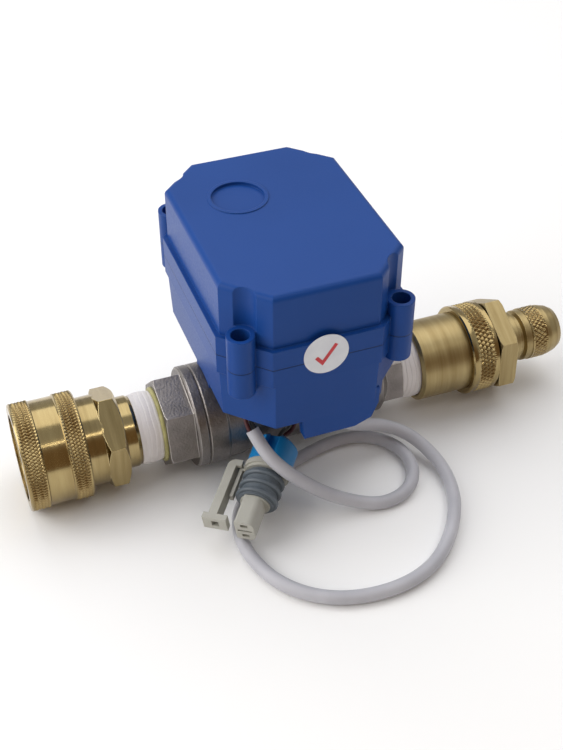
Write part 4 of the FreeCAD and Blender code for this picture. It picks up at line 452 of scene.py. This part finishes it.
def grid_piece(name, points, material, crease=50, capped=False):
    """Closed piece on a grid of points in millimetres, rows by columns. The columns close on
    themselves, and the rows too, unless the first and the last row are capped. Faces point
    outwards and are smooth up to the crease, in degrees."""
    rows, columns = points.shape[:2]
    row, column = np.meshgrid(np.arange(rows - capped), np.arange(columns), indexing="ij")
    next_row = (row + 1) % rows
    next_column = (column + 1) % columns
    faces = np.stack([
        row * columns + column, next_row * columns + column,
        next_row * columns + next_column, row * columns + next_column,
    ], -1).reshape(-1, 4).tolist()
    if capped:
        faces.append(list(range(columns)))
        faces.append(list(range(rows * columns - 1, (rows - 1) * columns - 1, -1)))
    mesh = bpy.data.meshes.new(name)
    mesh.from_pydata((points.reshape(-1, 3) / 1000).tolist(), [], faces)
    mesh.update()
    if sum(face.center.dot(face.normal) * face.area for face in mesh.polygons) < 0:
        mesh.flip_normals()
    mesh.shade_smooth()
    mesh.set_sharp_from_angle(angle=math.radians(crease))
    mesh.materials.append(material)
    return add_object(name, mesh)


def wound_tape(name, node, length):
    """Wraps of tape, in millimetres: the radius is that of the edges and a swell of sin(pi u) to the
    power 0.6, with u from 0 to 1 along the length, less the step times the place in the wrap to the
    power 1.6. The place in the wrap is the fraction of u length / pitch + turn / (2 pi) and a small
    wandering, so the wraps are one helix, and the step fades out at the two ends."""
    low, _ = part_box(node)
    u = np.linspace(0, 1, 90)[:, None]
    turn = np.linspace(0, 2 * np.pi, 180, endpoint=False)[None, :]
    wander = 0.10 * np.sin(3 * turn + 1.3) + 0.06 * np.sin(7 * turn + 5 * u)
    wrap_place = (u * length / tape_pitch + turn / (2 * np.pi) + wander) % 1
    fade = np.clip(8 * u * (1 - u), 0, 1)
    radius = tape_edge_radius + tape_swell * np.sin(np.pi * u) ** 0.6
    x = low.x * 1000 + length * u
    outer = about_pipe(x, radius - tape_step * wrap_place ** 1.6 * fade, turn)
    inner = about_pipe(x, tape_inner_radius, turn)
    wraps = grid_piece(name, np.concatenate([outer, inner[::-1]]), tape_film)
    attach(wraps, "housing")
    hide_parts(node)


wound_tape("inlet_tape_wraps", "inlet_tape", 6.55)
wound_tape("outlet_tape_wraps", "outlet_tape", 7.6)

# Brass fittings: turned from bar, with faint lathe rings round the pipe axis. The coupler's body and
# the motor's pinion are bright, the adapter and the plug nipple on the outlet are satin.
brass = finish("brass", (0.29, 0.215, 0.095), (0.40, 0.31, 0.15), (0.13, 0.21), metal=1.0,
               stretch=(16, 1, 1), patch=45.0, grain=500.0, depth=0.000003, edge_radius=0.0003,
               edge_colour=(0.80, 0.66, 0.36), edge_share=0.7)
dress(brass, "coupler_body", "motor_pinion")
satin_brass = finish("satin_brass", (0.31, 0.23, 0.105), (0.42, 0.33, 0.165), (0.34, 0.46), metal=1.0,
                     stretch=(16, 1, 1), patch=45.0, grain=600.0, depth=0.000008, edge_radius=0.0003,
                     edge_colour=(0.80, 0.66, 0.36), edge_share=0.7)
dress(satin_brass, "outlet_adapter", "plug_nipple")

# Coupler sleeve: brass ring with two diamond knurled bands and a plain waist, which slides back
# against its spring to free the locking balls.
# The hollow colour is dirt and painted shade in the knurl's grooves.
knurled_brass = finish("knurled_brass", (0.32, 0.235, 0.105), (0.43, 0.335, 0.16), (0.13, 0.21),
                       metal=1.0, stretch=(8, 1, 1), patch=50.0, grain=700.0, depth=0.000003,
                       edge_radius=0.00008, hollow_colour=(0.19, 0.115, 0.04))
# The rings' places along the pipe are measured from the valve's stem, which stands at this x.
stem_offset = -6.825
steps_per_pitch = 12
groove_slope = 2.4


def knurled_ring(name, start, profile, bands, depth, teeth, pitch, around):
    """Closed ring turned about the pipe axis, in millimetres. The profile is its outline, (x, radius)
    points in order. On the outside of each band, from x to x, the radius drops by depth times the
    deeper of two crossing families of V grooves, 1 - slope |t|, where t is the distance to a
    groove's middle in pitches. The attribute rise is 1 on the tips and 0 in the grooves."""
    profile = [(start + x, radius) for x, radius in profile]
    bands = [(start + low, start + high) for low, high in bands]
    outside = 0.96 * max(radius for _, radius in profile)
    lengthwise, radii = [], []
    for (x0, r0), (x1, r1) in zip(profile, profile[1:] + profile[:1]):
        on_band = any(low <= min(x0, x1) and max(x0, x1) <= high for low, high in bands)
        knurled = on_band and min(r0, r1) > outside
        steps = int(abs(x1 - x0) / pitch * steps_per_pitch) if knurled else 1
        share = np.arange(steps) / steps
        lengthwise.append(x0 + (x1 - x0) * share)
        radii.append(r0 + (r1 - r0) * share)
    x = np.concatenate(lengthwise)[:, None]
    radius = np.concatenate(radii)[:, None]
    turn = np.linspace(0, 2 * np.pi, around, endpoint=False)[None, :]
    groove = np.zeros((len(x), around))
    for way in (1, -1):
        phase = teeth * turn / (2 * np.pi) + way * x / pitch
        groove = np.maximum(groove, 1 - np.abs(phase % 1 - 0.5) * groove_slope)
    band_share = np.zeros_like(x)
    for low, high in bands:
        fade = np.clip(np.minimum(x - low, high - x) / (0.35 * pitch), 0, 1)
        band_share = np.maximum(band_share, fade * (radius > outside))
    groove = groove * band_share
    ring = grid_piece(name, about_pipe(x, radius - depth * groove, turn), knurled_brass, crease=38)
    rise = ring.data.attributes.new("rise", "FLOAT", "POINT")
    rise.data.foreach_set("value", (1 - groove).reshape(-1))
    return ring


sleeve_profile = [
    (0.0, 13.0), (0.0, 15.75), (0.4, 16.15), (5.7, 16.15), (6.0, 15.75), (12.9, 15.75), (13.2, 16.15),
    (18.4, 16.15), (18.8, 15.75), (18.8, 13.7), (7.4, 13.7), (7.4, 11.65), (4.4, 11.65), (4.4, 12.4),
    (3.7, 12.4), (3.7, 13.0),
]
coupler_sleeve = knurled_ring(
    "knurled_sleeve", -81.8 + stem_offset, sleeve_profile, bands=[(0.4, 5.7), (13.2, 18.4)],
    depth=0.34, teeth=100, pitch=1.85, around=700,
)
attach(coupler_sleeve, "sleeve")
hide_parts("coupler_sleeve")

# Sleeve spring: three open turns of steel wire inside the sleeve. Its inner end rests on the neck.
# The real spring shortens as the sleeve is pulled back; this coil is fixed to the housing at one
# length.
spring_low, spring_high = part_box("sleeve_spring")
wire_radius = 0.6
coil_start = spring_low.x * 1000 + wire_radius
coil_length = spring_high.x * 1000 - wire_radius - coil_start


def wire_coil(name, start, length, coil_radius, turns, material):
    """Coil about the pipe axis, in millimetres: the wire's centre climbs along x evenly with its turn,
    at one radius, and each section is a circle in the plane of the radius and the axis."""
    turn = np.linspace(0, 2 * np.pi * turns, 64 * turns + 1)[:, None]
    around = np.linspace(0, 2 * np.pi, 12, endpoint=False)[None, :]
    x = start + length * turn / turn[-1] + wire_radius * np.sin(around)
    radius = coil_radius + wire_radius * np.cos(around)
    return grid_piece(name, about_pipe(x, radius, turn), material, capped=True)


spring_coil = wire_coil(
    "spring_coil", coil_start, coil_length, coil_radius=12.65, turns=3, material=polished,
)
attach(spring_coil, "housing")
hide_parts("sleeve_spring")
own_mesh(spring_coil)

# Union ring: turned brass nut between the adapter and the plug nipple, with a raised rim, a diamond
# knurl rolled into it and a plain edge. The point at 8.3 keeps the shading of that edge flat.
union_profile = [
    (0.0, 12.69), (0.0, 14.1), (0.4, 14.5), (1.6, 14.5), (1.9, 14.4), (8.0, 14.4), (8.3, 14.4),
    (9.0, 14.4), (9.2, 14.2), (9.2, 8.65), (7.35, 8.65), (7.35, 10.85), (0.35, 10.85), (0.35, 12.69),
]
union_ring = knurled_ring(
    "knurled_union", 59.9 + stem_offset, union_profile, bands=[(1.9, 8.0)],
    depth=0.45, teeth=62, pitch=2.5, around=620,
)
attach(union_ring, "housing")
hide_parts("union_ring")

# Grip on the plug nipple: a thin band with a diamond knurl, rolled into the brass round its end,
# between the second collar and the nose.
grip_profile = [(0.0, 8.0), (0.0, 8.4), (0.15, 8.55), (5.35, 8.55), (5.5, 8.4), (5.5, 8.0)]
nipple_grip = knurled_ring(
    "nipple_grip", 84.4 + stem_offset, grip_profile, bands=[(0.15, 5.35)],
    depth=0.26, teeth=36, pitch=1.95, around=432,
)
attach(nipple_grip, "housing")

# Inside the actuator: white acetal wheels and plungers, black cam, plate and switches, a plated gear
# motor and a green circuit board. They show only when the cover is taken off.
acetal = finish("acetal", (0.72, 0.72, 0.68), (0.80, 0.80, 0.77), (0.3, 0.45))
dress(acetal, "output_gear", "idler_gear", "switch_plunger_open", "switch_plunger_closed")
black_moulding = finish("black_moulding", (0.02, 0.02, 0.022), (0.045, 0.045, 0.05), (0.4, 0.6))
dress(black_moulding, "gear_plate", "limit_cam", "limit_switch_open", "limit_switch_closed")
motor_plate = finish("motor_plate", (0.42, 0.42, 0.41), (0.58, 0.58, 0.56), (0.25, 0.4), metal=1.0)
dress(motor_plate, "gear_motor")
board_resin = finish("board_resin", (0.012, 0.12, 0.045), (0.02, 0.18, 0.07), (0.25, 0.4), patch=300.0)
dress(board_resin, "circuit_board")
